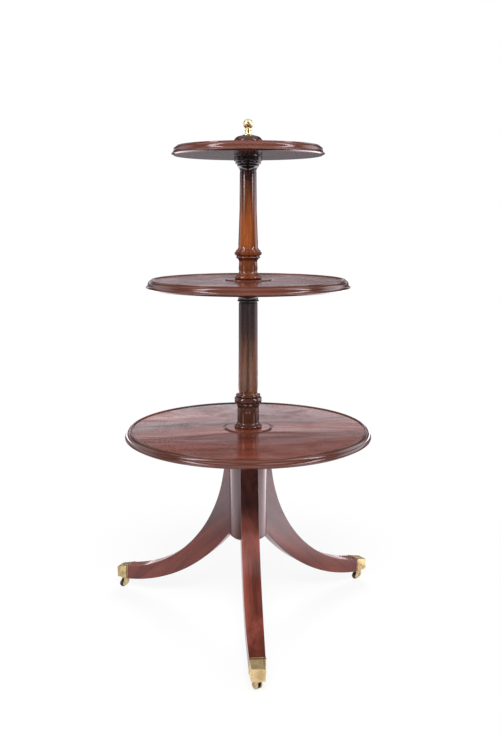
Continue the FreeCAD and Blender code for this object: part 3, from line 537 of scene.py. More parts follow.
def new_group(name, kind, inputs, outputs):
    """An empty node group. An input is given by its default or, where it has none, by its kind of socket."""
    tree = bpy.data.node_groups.new(name, kind)
    for label, value in inputs.items():
        socket_kind = value if isinstance(value, str) else type(value).__name__.title()
        socket = tree.interface.new_socket(label, in_out="INPUT", socket_type="NodeSocket" + socket_kind)
        if not isinstance(value, str):
            socket.default_value = value
    for label, socket_kind in outputs.items():
        tree.interface.new_socket(label, in_out="OUTPUT", socket_type="NodeSocket" + socket_kind)
    return tree, tree.nodes.new("NodeGroupInput").outputs, tree.nodes.new("NodeGroupOutput")


def made_once(name):
    """Lets the maker of a node group run only when there is no such group yet."""
    return lambda maker: lambda: bpy.data.node_groups.get(name) or maker(name)


def maths(operation, first, second=None):
    """A Math node over sockets or plain numbers."""
    node = add_node(tree_of(first, second), "ShaderNodeMath", {"operation": operation})
    feed(node.inputs[0], first)
    if second is not None:
        feed(node.inputs[1], second)
    return node.outputs[0]


def chained(operation):
    """A function that joins two or more sockets or plain numbers by one operation."""

    def joined(first, *others):
        for other in others:
            first = maths(operation, first, other)
        return first

    return joined


plus = chained("ADD")
minus = chained("SUBTRACT")
times = chained("MULTIPLY")
over = chained("DIVIDE")
largest = chained("MAXIMUM")


def reach_of(x, y):
    """Distance from the upright axis."""
    return maths("SQRT", plus(times(x, x), times(y, y)))


def split(vector):
    """The three parts of a vector."""
    outputs = add_node(tree_of(vector), "ShaderNodeSeparateXYZ", Vector=vector).outputs
    return outputs["X"], outputs["Y"], outputs["Z"]


def join(x=0.0, y=0.0, z=0.0):
    """A vector of three parts."""
    return add_node(tree_of(x, y, z), "ShaderNodeCombineXYZ", X=x, Y=y, Z=z).outputs[0]


def finished(given, geometry):
    """Realizes what a geometry tree has made and gives it its finish."""
    tree = tree_of(geometry)
    real = add_node(tree, "GeometryNodeRealizeInstances", Geometry=geometry).outputs[0]
    return add_node(tree, "GeometryNodeSetMaterial", Geometry=real, Material=given["Finish"]).outputs[0]


@made_once("Turning")
def turning_tree(name):
    """Turns the vertices of an outline, in their order, about the upright axis."""
    tree, given, result = new_group(
        name, "GeometryNodeTree",
        {"Outline": "Geometry", "Steps": 96, "Crease Angle": 0.5, "Finish": "Material"},
        {"Turned": "Geometry"},
    )
    steps = given["Steps"]
    rows = add_node(tree, "GeometryNodeAttributeDomainSize", Geometry=given["Outline"]).outputs["Point Count"]
    last_row = minus(rows, 1)
    grid = add_node(
        tree, "GeometryNodeMeshGrid", Size_X=steps, Size_Y=last_row, Vertices_X=plus(steps, 1),
        Vertices_Y=rows,
    )
    place = tree.nodes.new("GeometryNodeInputPosition").outputs[0]
    across, along = split(place)[:2]
    column = plus(across, over(steps, 2))
    row = plus(along, over(last_row, 2))
    sample = add_node(
        tree, "GeometryNodeSampleIndex", {"data_type": "FLOAT_VECTOR"}, Geometry=given["Outline"],
        Value=place, Index=maths("ROUND", row),
    )
    radius, _, height = split(sample.outputs[0])
    turn = over(times(column, math.tau), steps)
    x = times(radius, maths("COSINE", turn))
    y = times(radius, maths("SINE", turn))
    bend = add_node(
        tree, "GeometryNodeSetPosition", Geometry=grid.outputs["Mesh"], Position=join(x, y, height)
    )
    weld = add_node(tree, "GeometryNodeMergeByDistance", Geometry=bend.outputs[0], Distance=WELD)
    smooth = add_node(tree, "GeometryNodeSetShadeSmooth", Geometry=weld.outputs[0])
    angle = tree.nodes.new("GeometryNodeInputMeshEdgeAngle").outputs["Unsigned Angle"]
    sharp = add_node(
        tree, "GeometryNodeSetShadeSmooth", {"domain": "EDGE"}, Geometry=smooth.outputs[0],
        Selection=maths("GREATER_THAN", angle, given["Crease Angle"]), Shade_Smooth=False,
    )
    fill(result, Turned=finished(given, sharp.outputs[0]))
    return tree


@made_once("Slotted Screws")
def screws_tree(name):
    """Stands a slotted screw on each given point, along its normal, with its slot turned by chance."""
    tree, given, result = new_group(
        name,
        "GeometryNodeTree",
        {
            "Places": "Geometry", "Head Radius": 0.0034, "Shank Radius": 0.0016, "Length": 0.012,
            "Dome": 0.0002, "Slot Width": 0.0007, "Slot Depth": 0.0006, "Seed": 4, "Finish": "Material",
        },
        {"Screws": "Geometry"},
    )
    radius, shank_radius, long = given["Head Radius"], given["Shank Radius"], given["Length"]
    head_height = over(radius, 2)
    head = add_node(
        tree, "GeometryNodeMeshCone", Vertices=32, Side_Segments=1, Radius_Top=radius,
        Radius_Bottom=shank_radius, Depth=head_height,
    )
    dome = add_node(tree, "GeometryNodeMeshUVSphere", Segments=32, Rings=12, Radius=1.0)
    shank = add_node(tree, "GeometryNodeMeshCylinder", Vertices=24, Radius=shank_radius, Depth=long)
    whole = add_node(tree, "GeometryNodeMeshBoolean", {"operation": "UNION"})
    for part, change in (
        (head, {"Translation": join(z=times(head_height, -1))}),
        (dome, {"Scale": join(radius, radius, given["Dome"])}),
        (shank, {"Translation": join(z=over(long, -2))}),
    ):
        moved = add_node(tree, "GeometryNodeTransform", Geometry=part.outputs["Mesh"], **change)
        fill(whole, Mesh_2=moved.outputs[0])
    slot = join(times(radius, 3), given["Slot Width"], times(given["Slot Depth"], 2))
    cutter = add_node(tree, "GeometryNodeMeshCube", Size=slot)
    cut = add_node(
        tree, "GeometryNodeMeshBoolean", {"operation": "DIFFERENCE"}, Mesh_1=whole.outputs[0],
        Mesh_2=cutter.outputs["Mesh"],
    )
    kind = {"data_type": "FLOAT_VECTOR"}
    normal = add_node(tree, "GeometryNodeInputNamedAttribute", kind, Name="facing")
    align = add_node(tree, "FunctionNodeAlignRotationToVector", {"axis": "Z"}, Vector=normal.outputs[0])
    chance = add_node(tree, "FunctionNodeRandomValue", {"data_type": "FLOAT"}, Seed=given["Seed"])
    # Inputs 2 and 3 are the least and the greatest number.
    chance.inputs[2].default_value = 0.0
    chance.inputs[3].default_value = math.pi
    spin = add_node(tree, "FunctionNodeAxisAngleToRotation", Angle=chance.outputs[1])
    facing = add_node(
        tree, "FunctionNodeRotateRotation", {"rotation_space": "LOCAL"}, Rotation=align.outputs[0],
        Rotate_By=spin.outputs[0],
    )
    stand = add_node(
        tree, "GeometryNodeInstanceOnPoints", Points=given["Places"], Instance=cut.outputs[0],
        Rotation=facing.outputs[0],
    )
    fill(result, Screws=finished(given, stand.outputs[0]))
    return tree


# Making pieces.


def placed(name, data):
    """An object of a mesh, lamp or camera, put in the scene."""
    item = bpy.data.objects.new(name, data)
    bpy.context.scene.collection.objects.link(item)
    return item


def closed(shape, mesh):
    """Puts a bmesh into a mesh and frees it."""
    shape.to_mesh(mesh)
    shape.free()


def grown(name, start_mesh, tree, **inputs):
    """A plain mesh object made by a node tree from a starting mesh."""
    maker = placed(name + "_maker", start_mesh)
    modifier = maker.modifiers.new("Maker", "NODES")
    modifier.node_group = tree
    sockets = [item for item in tree.interface.items_tree if item.item_type == "SOCKET"]
    identifiers = {item.name: item.identifier for item in sockets}
    for key, value in inputs.items():
        modifier[identifiers[key.replace("_", " ")]] = value
    graph = bpy.context.evaluated_depsgraph_get()
    mesh = bpy.data.meshes.new_from_object(maker.evaluated_get(graph))
    mesh.name = name
    maker.modifiers.remove(modifier)
    bpy.data.objects.remove(maker)
    bpy.data.meshes.remove(start_mesh)
    return placed(name, mesh)


def turned(name, points, finish, steps):
    """A piece turned from an outline of (radius, height) points."""
    line = bpy.data.meshes.new(name + "_outline")
    edges = [(index, index + 1) for index in range(len(points) - 1)]
    line.from_pydata([(across, 0, up) for across, up in points], edges, [])
    return grown(name, line, turning_tree(), Steps=steps, Crease_Angle=CREASE, Finish=finish)


def softened(node, width, finish):
    """A copy of a node with its facets joined and its sharp edges rounded."""
    mesh = frame["nodes"][node].data.copy()
    shape = bmesh.new()
    shape.from_mesh(mesh)
    bmesh.ops.remove_doubles(shape, verts=shape.verts, dist=WELD)
    flat = math.radians(0.5)
    bmesh.ops.dissolve_limit(shape, angle_limit=flat, verts=shape.verts, edges=shape.edges)
    bent = math.radians(35)
    sharp = [edge for edge in shape.edges if edge.is_manifold and edge.calc_face_angle() > bent]
    bmesh.ops.bevel(
        shape, geom=sharp, offset=width, offset_type="OFFSET", segments=2, profile=0.5, affect="EDGES",
        clamp_overlap=True,
    )
    for face in shape.faces:
        face.smooth = True
    for edge in shape.edges:
        edge.smooth = not edge.is_manifold or edge.calc_face_angle() < CREASE
    closed(shape, mesh)
    mesh.materials.clear()
    mesh.materials.append(finish)
    return placed("eased_" + node, mesh)


def stands_for(piece, body, slot, *nodes):
    """Ties a piece to its body and hides the nodes that it stands for. Its slot argument is not used."""
    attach(piece, body)
    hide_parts(*nodes)


def finish_nodes(finish, *names):
    """Gives CAD nodes a material."""
    for name in names:
        item = frame["nodes"][name]
        if not item.data.materials:
            item.data.materials.append(None)
        for slot in item.material_slots:
            slot.link = "OBJECT"
            slot.material = finish


# Shader node groups that several materials share.


def shader_group(name, inputs, outputs):
    """An empty shader group whose outputs are plain numbers."""
    return new_group(name, "ShaderNodeTree", {"Vector": "Vector", **inputs}, dict.fromkeys(outputs, "Float"))


def noise(vector, scale, detail=3.0, roughness=0.5, distortion=0.0):
    return add_node(
        tree_of(vector), "ShaderNodeTexNoise", Vector=vector, Scale=scale, Detail=detail,
        Roughness=roughness, Distortion=distortion,
    ).outputs[0]


def ramp(value, start, end):
    """A value that climbs from nought to one between start and end."""
    soft = {"interpolation_type": "SMOOTHSTEP"}
    node = add_node(tree_of(value), "ShaderNodeMapRange", soft, Value=value, From_Min=start, From_Max=end)
    return node.outputs[0]


def spanned(value, place, span):
    """A value that climbs from nought to one over a span about a place."""
    return ramp(value, place + span[0], place + span[1])


def patch(value, span, end):
    """A value that climbs over a span and falls over the end."""
    return minus(ramp(value, *span), ramp(value, *end))


def stretched(vector, along, across):
    """A vector scaled by along on X and by across on Y and Z."""
    node = add_node(tree_of(vector), "ShaderNodeVectorMath", {"operation": "MULTIPLY"})
    feed(node.inputs[0], vector)
    feed(node.inputs[1], (along, across, across))
    return node.outputs[0]


@made_once("Mahogany Grain")
def grain_group(name):
    """Mahogany figure along X, with bands, streaks and short dark pores, and how the board has moved."""
    tree, given, result = shader_group(
        name, {"Band Width": 0.05, "Streak": 0.5, "Ripple": 0.25},
        ("Figure", "Pores", "Height", "Swell"),
    )
    vector = given["Vector"]
    spread = over(1.0, given["Band Width"])
    scale = add_node(tree, "ShaderNodeVectorMath", {"operation": "SCALE"}, Scale=spread)
    feed(scale.inputs[0], vector)
    figure_place = scale.outputs[0]
    bands = noise(stretched(figure_place, 0.10, 1.0), 0.9, 4.0, 0.55, 0.6)
    streaks = noise(stretched(figure_place, 0.05, 2.4), 3.2, 5.0, 0.6, 0.2)
    ripple = noise(stretched(figure_place, 1.5, 0.5), 1.4, 2.0, 0.5, 0.8)
    fine = times(minus(streaks, 0.5), given["Streak"])
    cross = times(minus(ripple, 0.5), given["Ripple"])
    figure = plus(ramp(bands, 0.32, 0.68), fine, cross)
    pores = noise(stretched(vector, 110.0, 1900.0), 1.0, 2.0, 0.5)
    specks = ramp(pores, 0.60, 0.72)
    fill(
        result, Figure=maths("MINIMUM", largest(figure, 0.0), 1.0), Pores=specks,
        Height=times(specks, -1.0), Swell=noise(stretched(vector, 3.5, 11.0), 1.0, 2.0, 0.4, 0.5),
    )
    return tree


@made_once("Handling Marks")
def handling_group(name):
    """Hazy smears and fine scratches left by use, as a change in roughness and a height."""
    tree, given, result = shader_group(name, {"Scratch": 0.5}, ("Haze", "Scratches", "Height"))
    vector = given["Vector"]
    haze = ramp(noise(vector, 9.0, 5.0, 0.65, 0.4), 0.42, 0.72)
    lines = []
    for turn, squeeze in ((0.4, 9.0), (1.9, 14.0), (2.7, 7.0)):
        around = {"rotation_type": "Z_AXIS"}
        spin = add_node(tree, "ShaderNodeVectorRotate", around, Vector=vector, Angle=turn)
        fibre = noise(stretched(spin.outputs[0], squeeze, 620.0), 1.0, 1.0, 0.5)
        lines.append(ramp(fibre, 0.70, 0.76))
    where = ramp(noise(vector, 5.0, 2.0), 0.5, 0.66)
    marks = times(largest(*lines), where, given["Scratch"])
    fill(result, Haze=haze, Scratches=marks, Height=times(marks, -1.0))
    return tree


@made_once("Brass Tarnish")
def tarnish_group(name):
    """Brown and grey staining of brass, thicker in patches."""
    tree, given, result = shader_group(name, {"Amount": 0.5}, ("Stain", "Speckle", "Height"))
    vector = given["Vector"]
    patches = ramp(noise(vector, 55.0, 6.0, 0.62, 0.5), 0.40, 0.70)
    speck = ramp(noise(vector, 700.0, 2.0), 0.58, 0.70)
    fill(
        result, Stain=times(patches, given["Amount"]), Speckle=times(speck, given["Amount"]),
        Height=noise(vector, 1500.0, 3.0, 0.7),
    )
    return tree


# Materials.


def new_material(name):
    material = bpy.data.materials.new(name)
    material.use_nodes = True
    tree = material.node_tree
    return material, tree, tree.nodes["Principled BSDF"]


def shade(colour_values, amount):
    """A colour made darker."""
    return tuple(value * amount for value in colour_values)


def object_place(tree):
    """Object coordinates."""
    return tree.nodes.new("ShaderNodeTexCoord").outputs["Object"]


def object_vector(tree, rotation=(0.0, 0.0, 0.0), location=(0.0, 0.0, 0.0)):
    """Object coordinates turned so that the grain runs along X."""
    kind = {"vector_type": "TEXTURE"}
    place = object_place(tree)
    node = add_node(tree, "ShaderNodeMapping", kind, Vector=place, Rotation=rotation, Location=location)
    return node.outputs[0]


def use_group(tree, group, vector, **values):
    """The outputs of a shared group in a material."""
    return add_node(tree, "ShaderNodeGroup", {"node_tree": group}, Vector=vector, **values).outputs


def mix_colour(factor, first, second):
    """A mix of two colours, each a socket or three plain numbers."""
    node = add_node(tree_of(factor), "ShaderNodeMix", {"data_type": "RGBA", "clamp_factor": True})
    feed(node.inputs[0], factor)
    # Inputs 6 and 7 and output 2 are the colours.
    for slot, value in ((6, first), (7, second)):
        feed(node.inputs[slot], value if is_socket(value) else (*value, 1.0))
    return node.outputs[2]


def stained(base, where, amount, stain):
    """A colour with another laid over it. It lays stains, dirt, scratches and painted shade."""
    return mix_colour(times(where, amount), base, stain)


def bumped(height, strength, distance, **normal):
    """The normal of a bumpy surface."""
    inputs = {"Strength": strength, "Distance": distance, "Height": height, **normal}
    return add_node(tree_of(height), "ShaderNodeBump", **inputs).outputs[0]


def mahogany(
    name, dark, light, rotation, location=(0.0, 0.0, 0.0), band=0.05, streak=0.45, scratch=0.4,
    swell=0.0, rim_from=None, column=None,
):
    """Polished mahogany whose grain runs along X after the rotation.

    Swell is how far its surface has moved. A tray's stain turns brown beyond the radius rim_from, and round
    its boss the same brown is laid as painted shade. For a column, the heights and amounts of its darkening
    and haze are given.
    """
    wood = bpy.context.scene.stand.wood
    material, tree, shader = new_material(name)
    vector = object_vector(tree, rotation, location)
    grain = use_group(tree, grain_group(), vector, Band_Width=band, Streak=streak, Ripple=0.2)
    marks = use_group(tree, handling_group(), vector, Scratch=scratch)
    base = mix_colour(grain["Figure"], dark, light)
    base = stained(base, grain["Pores"], 0.65, shade(dark, 0.35))
    paler = tuple(min(1.0, value * 2.2 + 0.03) for value in light)
    base = stained(base, marks["Scratches"], 0.45, paler)
    rough = plus(
        times(marks["Haze"], 0.10), wood.polish_roughness, times(grain["Pores"], 0.12),
        times(marks["Scratches"], 0.3),
    )
    if column:
        height = split(object_place(tree))[2]
        base, rough = column_stain(height, base, rough, wood.ebony, **column)
    if rim_from is not None:
        x, y, _ = split(object_place(tree))
        reach = reach_of(x, y)
        outside = spanned(reach, rim_from, RIM_SPAN)
        # Painted shade on the boss's sloping face, in the rim's brown.
        boss_shade = times(*(ramp(reach, *edge) for edge in BOSS_SHADE_RING))
        base = stained(base, largest(outside, boss_shade), 0.8, wood.rim)
    moved = bumped(grain["Swell"], 1.0, swell)
    relief = plus(grain["Height"], marks["Height"])
    normal = bumped(relief, 0.15, 0.0001, Normal=moved)
    fill(shader, Base_Color=base, Roughness=rough, Normal=normal)
    return material


def column_stain(height, base, rough, ebony, foot_to, capital_shade_from, foot_darkening, shaft_haze, neck_shade):
    """A column's colour and roughness.

    It is darker brown below the height foot_to. It has brown painted shade for some way below its capital
    and black painted shade from the capital up, where the tray above shades it. Its polish is hazy above its
    foot.
    """
    # Painted shade: brown below the capital and black on it, where the tray above shades the column.
    base = stained(base, spanned(height, capital_shade_from, NECK_SHADE_SPAN), neck_shade, NECK_SHADE)
    base = stained(base, spanned(height, capital_shade_from, CAPITAL_SHADE_SPAN), ebony, CAPITAL_SHADE)
    # Darker brown towards the column's foot.
    base = stained(base, spanned(height, foot_to, FOOT_SPAN), foot_darkening, FOOT_DARK)
    return base, plus(rough, times(spanned(height, foot_to, HAZE_SPAN), shaft_haze))


def metal(name, clean, dulled, metallic, roughness, amount, dulling, relief, spots=None, groove_at=None):
    """Old metal with stains, spots, a fine uneven surface, and a dirty groove at a radius groove_at."""
    material, tree, shader = new_material(name)
    tarnish = use_group(tree, tarnish_group(), object_vector(tree), Amount=amount)
    base = mix_colour(tarnish["Stain"], clean, dulled)
    if spots:
        base = stained(base, tarnish["Speckle"], 0.6, spots)
    if groove_at is not None:
        x, y, _ = split(object_place(tree))
        apart = maths("ABSOLUTE", minus(reach_of(x, y), groove_at))
        base = stained(base, ramp(apart, *GROOVE_SPAN), 0.9, GROOVE_BROWN)
    rough = plus(times(tarnish["Stain"], dulling), roughness)
    normal = bumped(tarnish["Height"], relief, 0.00005)
    fill(shader, Base_Color=base, Metallic=metallic, Roughness=rough, Normal=normal)
    return material


def brass(name, amount, roughness, wear_and_shade=1.0, groove_at=None):
    """Old brass, darkened by the factor given after its roughness: wear, and on the side toe caps painted
    shade.
    """
    settings = bpy.context.scene.stand.brass
    dull = shade(settings.dull, wear_and_shade)
    bright = shade(settings.bright, wear_and_shade)
    return metal(name, bright, dull, 1.0, roughness, amount, 0.25, 0.25, shade(dull, 0.35), groove_at)


def dark_metal(name, base_colour, metallic, roughness):
    """Dark iron or steel, dulled unevenly."""
    lighter = tuple(min(1.0, value * 1.7 + 0.01) for value in base_colour)
    return metal(name, base_colour, lighter, metallic, roughness, 0.7, 0.2, 0.3)


# Operators, one for each piece or group of like pieces.


class DUMBWAITER_OT_trays(bpy.types.Operator):
    """Turn the three dished trays"""

    bl_idname = "dumbwaiter.trays"
    bl_label = "Turn Trays"

    def execute(self, context):
        stand = context.scene.stand
        for index, tier in enumerate(TIERS):
            radius = getattr(stand.trays, tier + "_radius")
            wood = mahogany(
                tier + " tray mahogany", stand.wood.tray_dark, stand.wood.tray_light,
                (0.0, 0.0, TRAY_TURNS[tier]), (0.0, 0.31 * index, 0.17 * index), band=0.11, streak=0.35,
                swell=stand.wood.swell, rim_from=radius - RIM_WIDTH,
            )
            points = tray_outline(radius, wide(tier + "_bush") + FIT, low(tier + "_tray"))
            tray = turned("turned_%s_tray" % tier, points, wood, stand.trays.steps)
            stands_for(tray, tier + "_tray", "tray_wood", tier + "_tray")
        return {"FINISHED"}


class DUMBWAITER_OT_columns(bpy.types.Operator):
    """Turn the two columns and the cap"""

    bl_idname = "dumbwaiter.columns"
    bl_label = "Turn Columns"

    def execute(self, context):
        wood = context.scene.stand.wood
        columns = context.scene.stand.columns
        feet = (
            ("lower", high("bottom_tray") + columns.base_height),
            ("upper", high("middle_tray") + columns.upper_base_height),
        )
        for index, (place, foot) in enumerate(feet):
            points = column_outline(place, columns)
            shoulder = points_top(points) - columns.capital_height
            finish = mahogany(
                place + " column mahogany", getattr(wood, place + "_dark"),
                getattr(wood, place + "_light"), GRAIN_UPRIGHT, (0.0, 0.4 * index, 0.0), band=0.022,
                scratch=0.2, column={"foot_to": foot, "capital_shade_from": shoulder, **COLUMN_SHADE_AND_HAZE[place]},
            )
            column = turned("turned_%s_column" % place, points, finish, columns.steps)
            stands_for(column, "stand", "column_wood", place + "_column")
        finish = mahogany(
            "cap mahogany", wood.cap_dark, wood.cap_light, (0.0, 0.0, 0.3), band=0.03, scratch=0.2
        )
        cap = turned("turned_cap", cap_outline(), finish, columns.steps)
        stands_for(cap, "stand", "column_wood", "top_cap")
        return {"FINISHED"}


class DUMBWAITER_OT_base(bpy.types.Operator):
    """Finish the hub and the legs"""

    bl_idname = "dumbwaiter.base"
    bl_label = "Finish Base"

    def execute(self, context):
        wood = context.scene.stand.wood
        # The hub's wood is the legs' wood darkened: painted shade.
        hub = mahogany(
            "hub mahogany", shade(wood.leg_dark, 0.6), shade(wood.leg_light, 0.6), GRAIN_UPRIGHT,
            (0.2, 0.1, 0.0), band=0.03, scratch=0.2,
        )
        hub.node_tree.nodes["Principled BSDF"].inputs["Specular IOR Level"].default_value = 0.41
        finish_nodes(hub, "hub")
        for index, leg in enumerate(LEGS):
            # The front leg gets a darker copy of the leg wood: painted shade, for the shade under the bottom
            # tray.
            wear_and_shade = 0.72 if leg == "front" else 1.0
            finish = mahogany(
                leg + " leg mahogany", shade(wood.leg_dark, wear_and_shade), shade(wood.leg_light, wear_and_shade),
                (0.0, GRAIN_ALONG_LEG, toe_angle(leg)), (0.0, 0.0, 0.27 * index), band=0.04,
                scratch=0.3,
            )
            finish_nodes(finish, "leg_" + leg)
        return {"FINISHED"}


class DUMBWAITER_OT_finial(bpy.types.Operator):
    """Turn the ball finial"""

    bl_idname = "dumbwaiter.finial"
    bl_label = "Turn Finial"

    def execute(self, context):
        columns = context.scene.stand.columns
        finish = brass("finial brass", 0.3, 0.26)
        ball = turned("turned_finial", finial_outline(columns), finish, columns.steps)
        stands_for(ball, "stand", "finial_brass", "ball_finial")
        return {"FINISHED"}


class DUMBWAITER_OT_toe_caps(bpy.types.Operator):
    """Finish the brass toe caps and stand their screws in them"""

    bl_idname = "dumbwaiter.toe_caps"
    bl_label = "Finish Toe Caps"

    def execute(self, context):
        groove = -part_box("toe_cap_front")[1][1] + CAP_GROOVE
        finish_nodes(brass("front toe cap brass", 0.6, 0.42, 1.0, groove), "toe_cap_front")
        # The side toe caps get a darker copy of the brass: painted shade, against the bright floor that they
        # mirror.
        sides = brass("side toe cap brass", 0.8, 0.42, 0.62, groove)
        finish_nodes(sides, "toe_cap_left", "toe_cap_right")
        middle = Vector((0.0, 0.0, (low("cap_screws") + high("cap_screws")) / 2))
        places = []
        for leg in LEGS:
            turn = toe_angle(leg)
            out = Vector((math.cos(turn), math.sin(turn), 0.0))
            side = Vector((-math.sin(turn), math.cos(turn), 0.0))
            for aside in (side, -side):
                places.append((middle + out * CAP_SCREW_OUT + aside * CAP_SCREW_ASIDE, aside))
        finish = brass("screw brass", 1.0, 0.3, 0.45)
        screws = screw_set("toe_cap_screws", places, CAP_SCREW_LENGTH, context.scene.stand.casters, finish)
        stands_for(screws, "stand", "fitting_brass", "cap_screws")
        return {"FINISHED"}


class DUMBWAITER_OT_casters(bpy.types.Operator):
    """Make the casters' wheels, horns and axle pins"""

    bl_idname = "dumbwaiter.casters"
    bl_label = "Make Casters"

    def execute(self, context):
        casters = context.scene.stand.casters
        horn_finish = brass("caster brass", 0.9, 0.32, 0.7)
        pin_finish = brass("pin brass", 0.6, 0.3, 0.6)
        tread = dark_metal("dark tread", context.scene.stand.brass.tread, 0.0, 0.42)
        for leg in LEGS:
            horn = softened("caster_horn_" + leg, casters.edge_round, horn_finish)
            stands_for(horn, "caster_" + leg, "caster_brass", "caster_horn_" + leg)
            joint = JOINTS[leg + "_wheel_roll"]
            lie = Vector((0, 0, 1)).rotation_difference(Vector(joint["axis"])).to_matrix().to_4x4()
            place = Matrix.Translation(Vector(joint["pos_m"])) @ lie
            wheel = turned("wheel_" + leg, wheel_outline(casters), tread, WHEEL_STEPS)
            wheel.data.transform(place)
            stands_for(wheel, "wheel_" + leg, "wheel_iron", "caster_wheel_" + leg)
            pin = turned("axle_" + leg, pin_outline(), pin_finish, PIN_STEPS)
            pin.data.transform(place)
            stands_for(pin, "caster_" + leg, "caster_brass", "axle_pin_" + leg)
        finish_nodes(pin_finish, *["swivel_pin_" + leg for leg in LEGS])
        return {"FINISHED"}


class DUMBWAITER_OT_fittings(bpy.types.Operator):
    """Finish the bushes, washers, stud and the plate under the hub"""

    bl_idname = "dumbwaiter.fittings"
    bl_label = "Finish Fittings"

    def execute(self, context):
        stand = context.scene.stand
        finish_nodes(brass("fitting brass", 0.5, 0.3), *[tier + "_bush" for tier in TIERS])
        steel = dark_metal("steel", stand.brass.steel, 1.0, 0.32)
        finish_nodes(steel, *[tier + "_washer" for tier in TIERS], "finial_stud")
        finish_nodes(dark_metal("plate iron", PLATE_IRON, 0.8, 0.5), "leg_plate")
        foot = low("plate_screws") + PLATE_SCREW_SINK
        places = []
        for leg in LEGS:
            for turn in (toe_angle(leg), toe_angle(leg) + math.pi):
                x, y = PLATE_SCREW_RING * math.cos(turn), PLATE_SCREW_RING * math.sin(turn)
                places.append((Vector((x, y, foot)), Vector((0, 0, -1))))
        screws = screw_set("hub_plate_screws", places, PLATE_SCREW_LENGTH, stand.casters, steel)
        stands_for(screws, "stand", "steel", "plate_screws")
        return {"FINISHED"}


def toe_angle(leg):
    """Direction of a leg from the middle, from its caster's swivel."""
    place = JOINTS[leg + "_caster_swivel"]["pos_m"]
    return math.atan2(place[1], place[0])


def screw_set(name, places, length_in, casters, finish):
    """Slotted screws at places, each a point and the direction its head faces."""
    points = bpy.data.meshes.new(name + "_places")
    points.from_pydata([spot for spot, facing in places], [], [])
    facing = points.attributes.new("facing", "FLOAT_VECTOR", "POINT")
    facing.data.foreach_set("vector", [value for spot, out in places for value in out])
    return grown(
        name, points, screws_tree(), Head_Radius=casters.head_radius, Slot_Width=casters.slot_width,
        Dome=casters.dome, Length=length_in, Finish=finish,
    )


class DUMBWAITER_OT_stage(bpy.types.Operator):
    """Lay the floor and set the lamps and the camera"""

    bl_idname = "dumbwaiter.stage"
    bl_label = "Set Stage"

    def execute(self, context):
        settings = context.scene.stand.stage
        scene = context.scene
        scene.view_settings.view_transform = "Standard"
        lay_floor(settings)
        set_world(scene, settings)
        studio_wall(settings)
        for name, setting, place, target, width, height in LAMPS:
            lamp = bpy.data.lights.new(name, "AREA")
            lamp.shape = "RECTANGLE"
            lamp.size = width
            lamp.size_y = height
            lamp.energy = getattr(settings, setting)
            item = placed(name, lamp)
            item.location = place
            item.rotation_euler = (Vector(target) - Vector(place)).to_track_quat("-Z", "Y").to_euler()
            item.visible_glossy = False
        camera = bpy.data.cameras.new("camera")
        camera.lens = CAMERA_LENS
        camera.shift_x = CAMERA_SHIFT
        scene.camera = placed("camera", camera)
        scene.camera.location = CAMERA_PLACE
        scene.camera.rotation_euler = (math.radians(90 - CAMERA_DOWN), 0.0, 0.0)
        return {"FINISHED"}


def lay_floor(settings):
    """A wide flat floor just under the wheels."""
    mesh = bpy.data.meshes.new("floor")
    shape = bmesh.new()
    bmesh.ops.create_grid(shape, x_segments=2, y_segments=2, size=FLOOR_HALF)
    closed(shape, mesh)
    mesh.materials.append(floor_material(settings))
    floor = placed("floor", mesh)
    floor.location = (0.0, 0.0, -FLOOR_DROP)


def seen_directly(tree):
    """One for rays from the camera, a mirror or glass, and nought for light on a surface."""
    path = tree.nodes.new("ShaderNodeLightPath").outputs
    seen = plus(path["Is Camera Ray"], path["Is Glossy Ray"], path["Is Transmission Ray"])
    return maths("MINIMUM", seen, 1.0)


def floor_material(settings):
    """A pale floor that shows almost white and keeps a faint shadow. Polish mirrors its sides, which glow as
    painted light seen only in mirrors.
    """
    material, tree, shader = new_material("studio floor")
    path = tree.nodes.new("ShaderNodeLightPath").outputs
    mirror = path["Is Glossy Ray"]
    shown = mix_colour(path["Is Camera Ray"], shade(settings.floor, 0.3), settings.floor)
    fill(shader, Base_Color=shown, Roughness=0.7)
    where = object_place(tree)
    middle = add_node(tree, "ShaderNodeVectorMath", {"operation": "LENGTH"})
    feed(middle.inputs[0], where)
    # The floor keeps its shadow near the middle, and is plain white from a good way off.
    away = ramp(middle.outputs["Value"], *SHADOW_FADE)
    white = largest(plus(times(away, 1 - FLOOR_WHITE), FLOOR_WHITE), mirror)
    x, y, _ = split(where)
    left = patch(times(x, -1.0), *GLOW_LEFT)
    right = patch(x, *GLOW_RIGHT)
    near = times(ramp(y, *GLOW_NEAR), 0.9)
    mirrored_glow = largest(
        times(left, settings.floor_left), near, times(right, settings.floor_right), settings.wall_front,
    )
    glow = add_node(
        tree, "ShaderNodeEmission", Color=mix_colour(mirror, settings.background, FLOOR_TINT),
        Strength=plus(times(minus(mirrored_glow, 1.0), mirror), 1.0),
    )
    blend = tree.nodes.new("ShaderNodeMixShader")
    sources = (times(seen_directly(tree), white), shader.outputs[0], glow.outputs[0])
    for target, source in zip(blend.inputs, sources):
        feed(target, source)
    fill(tree.nodes["Material Output"], Surface=blend.outputs[0])
    return material


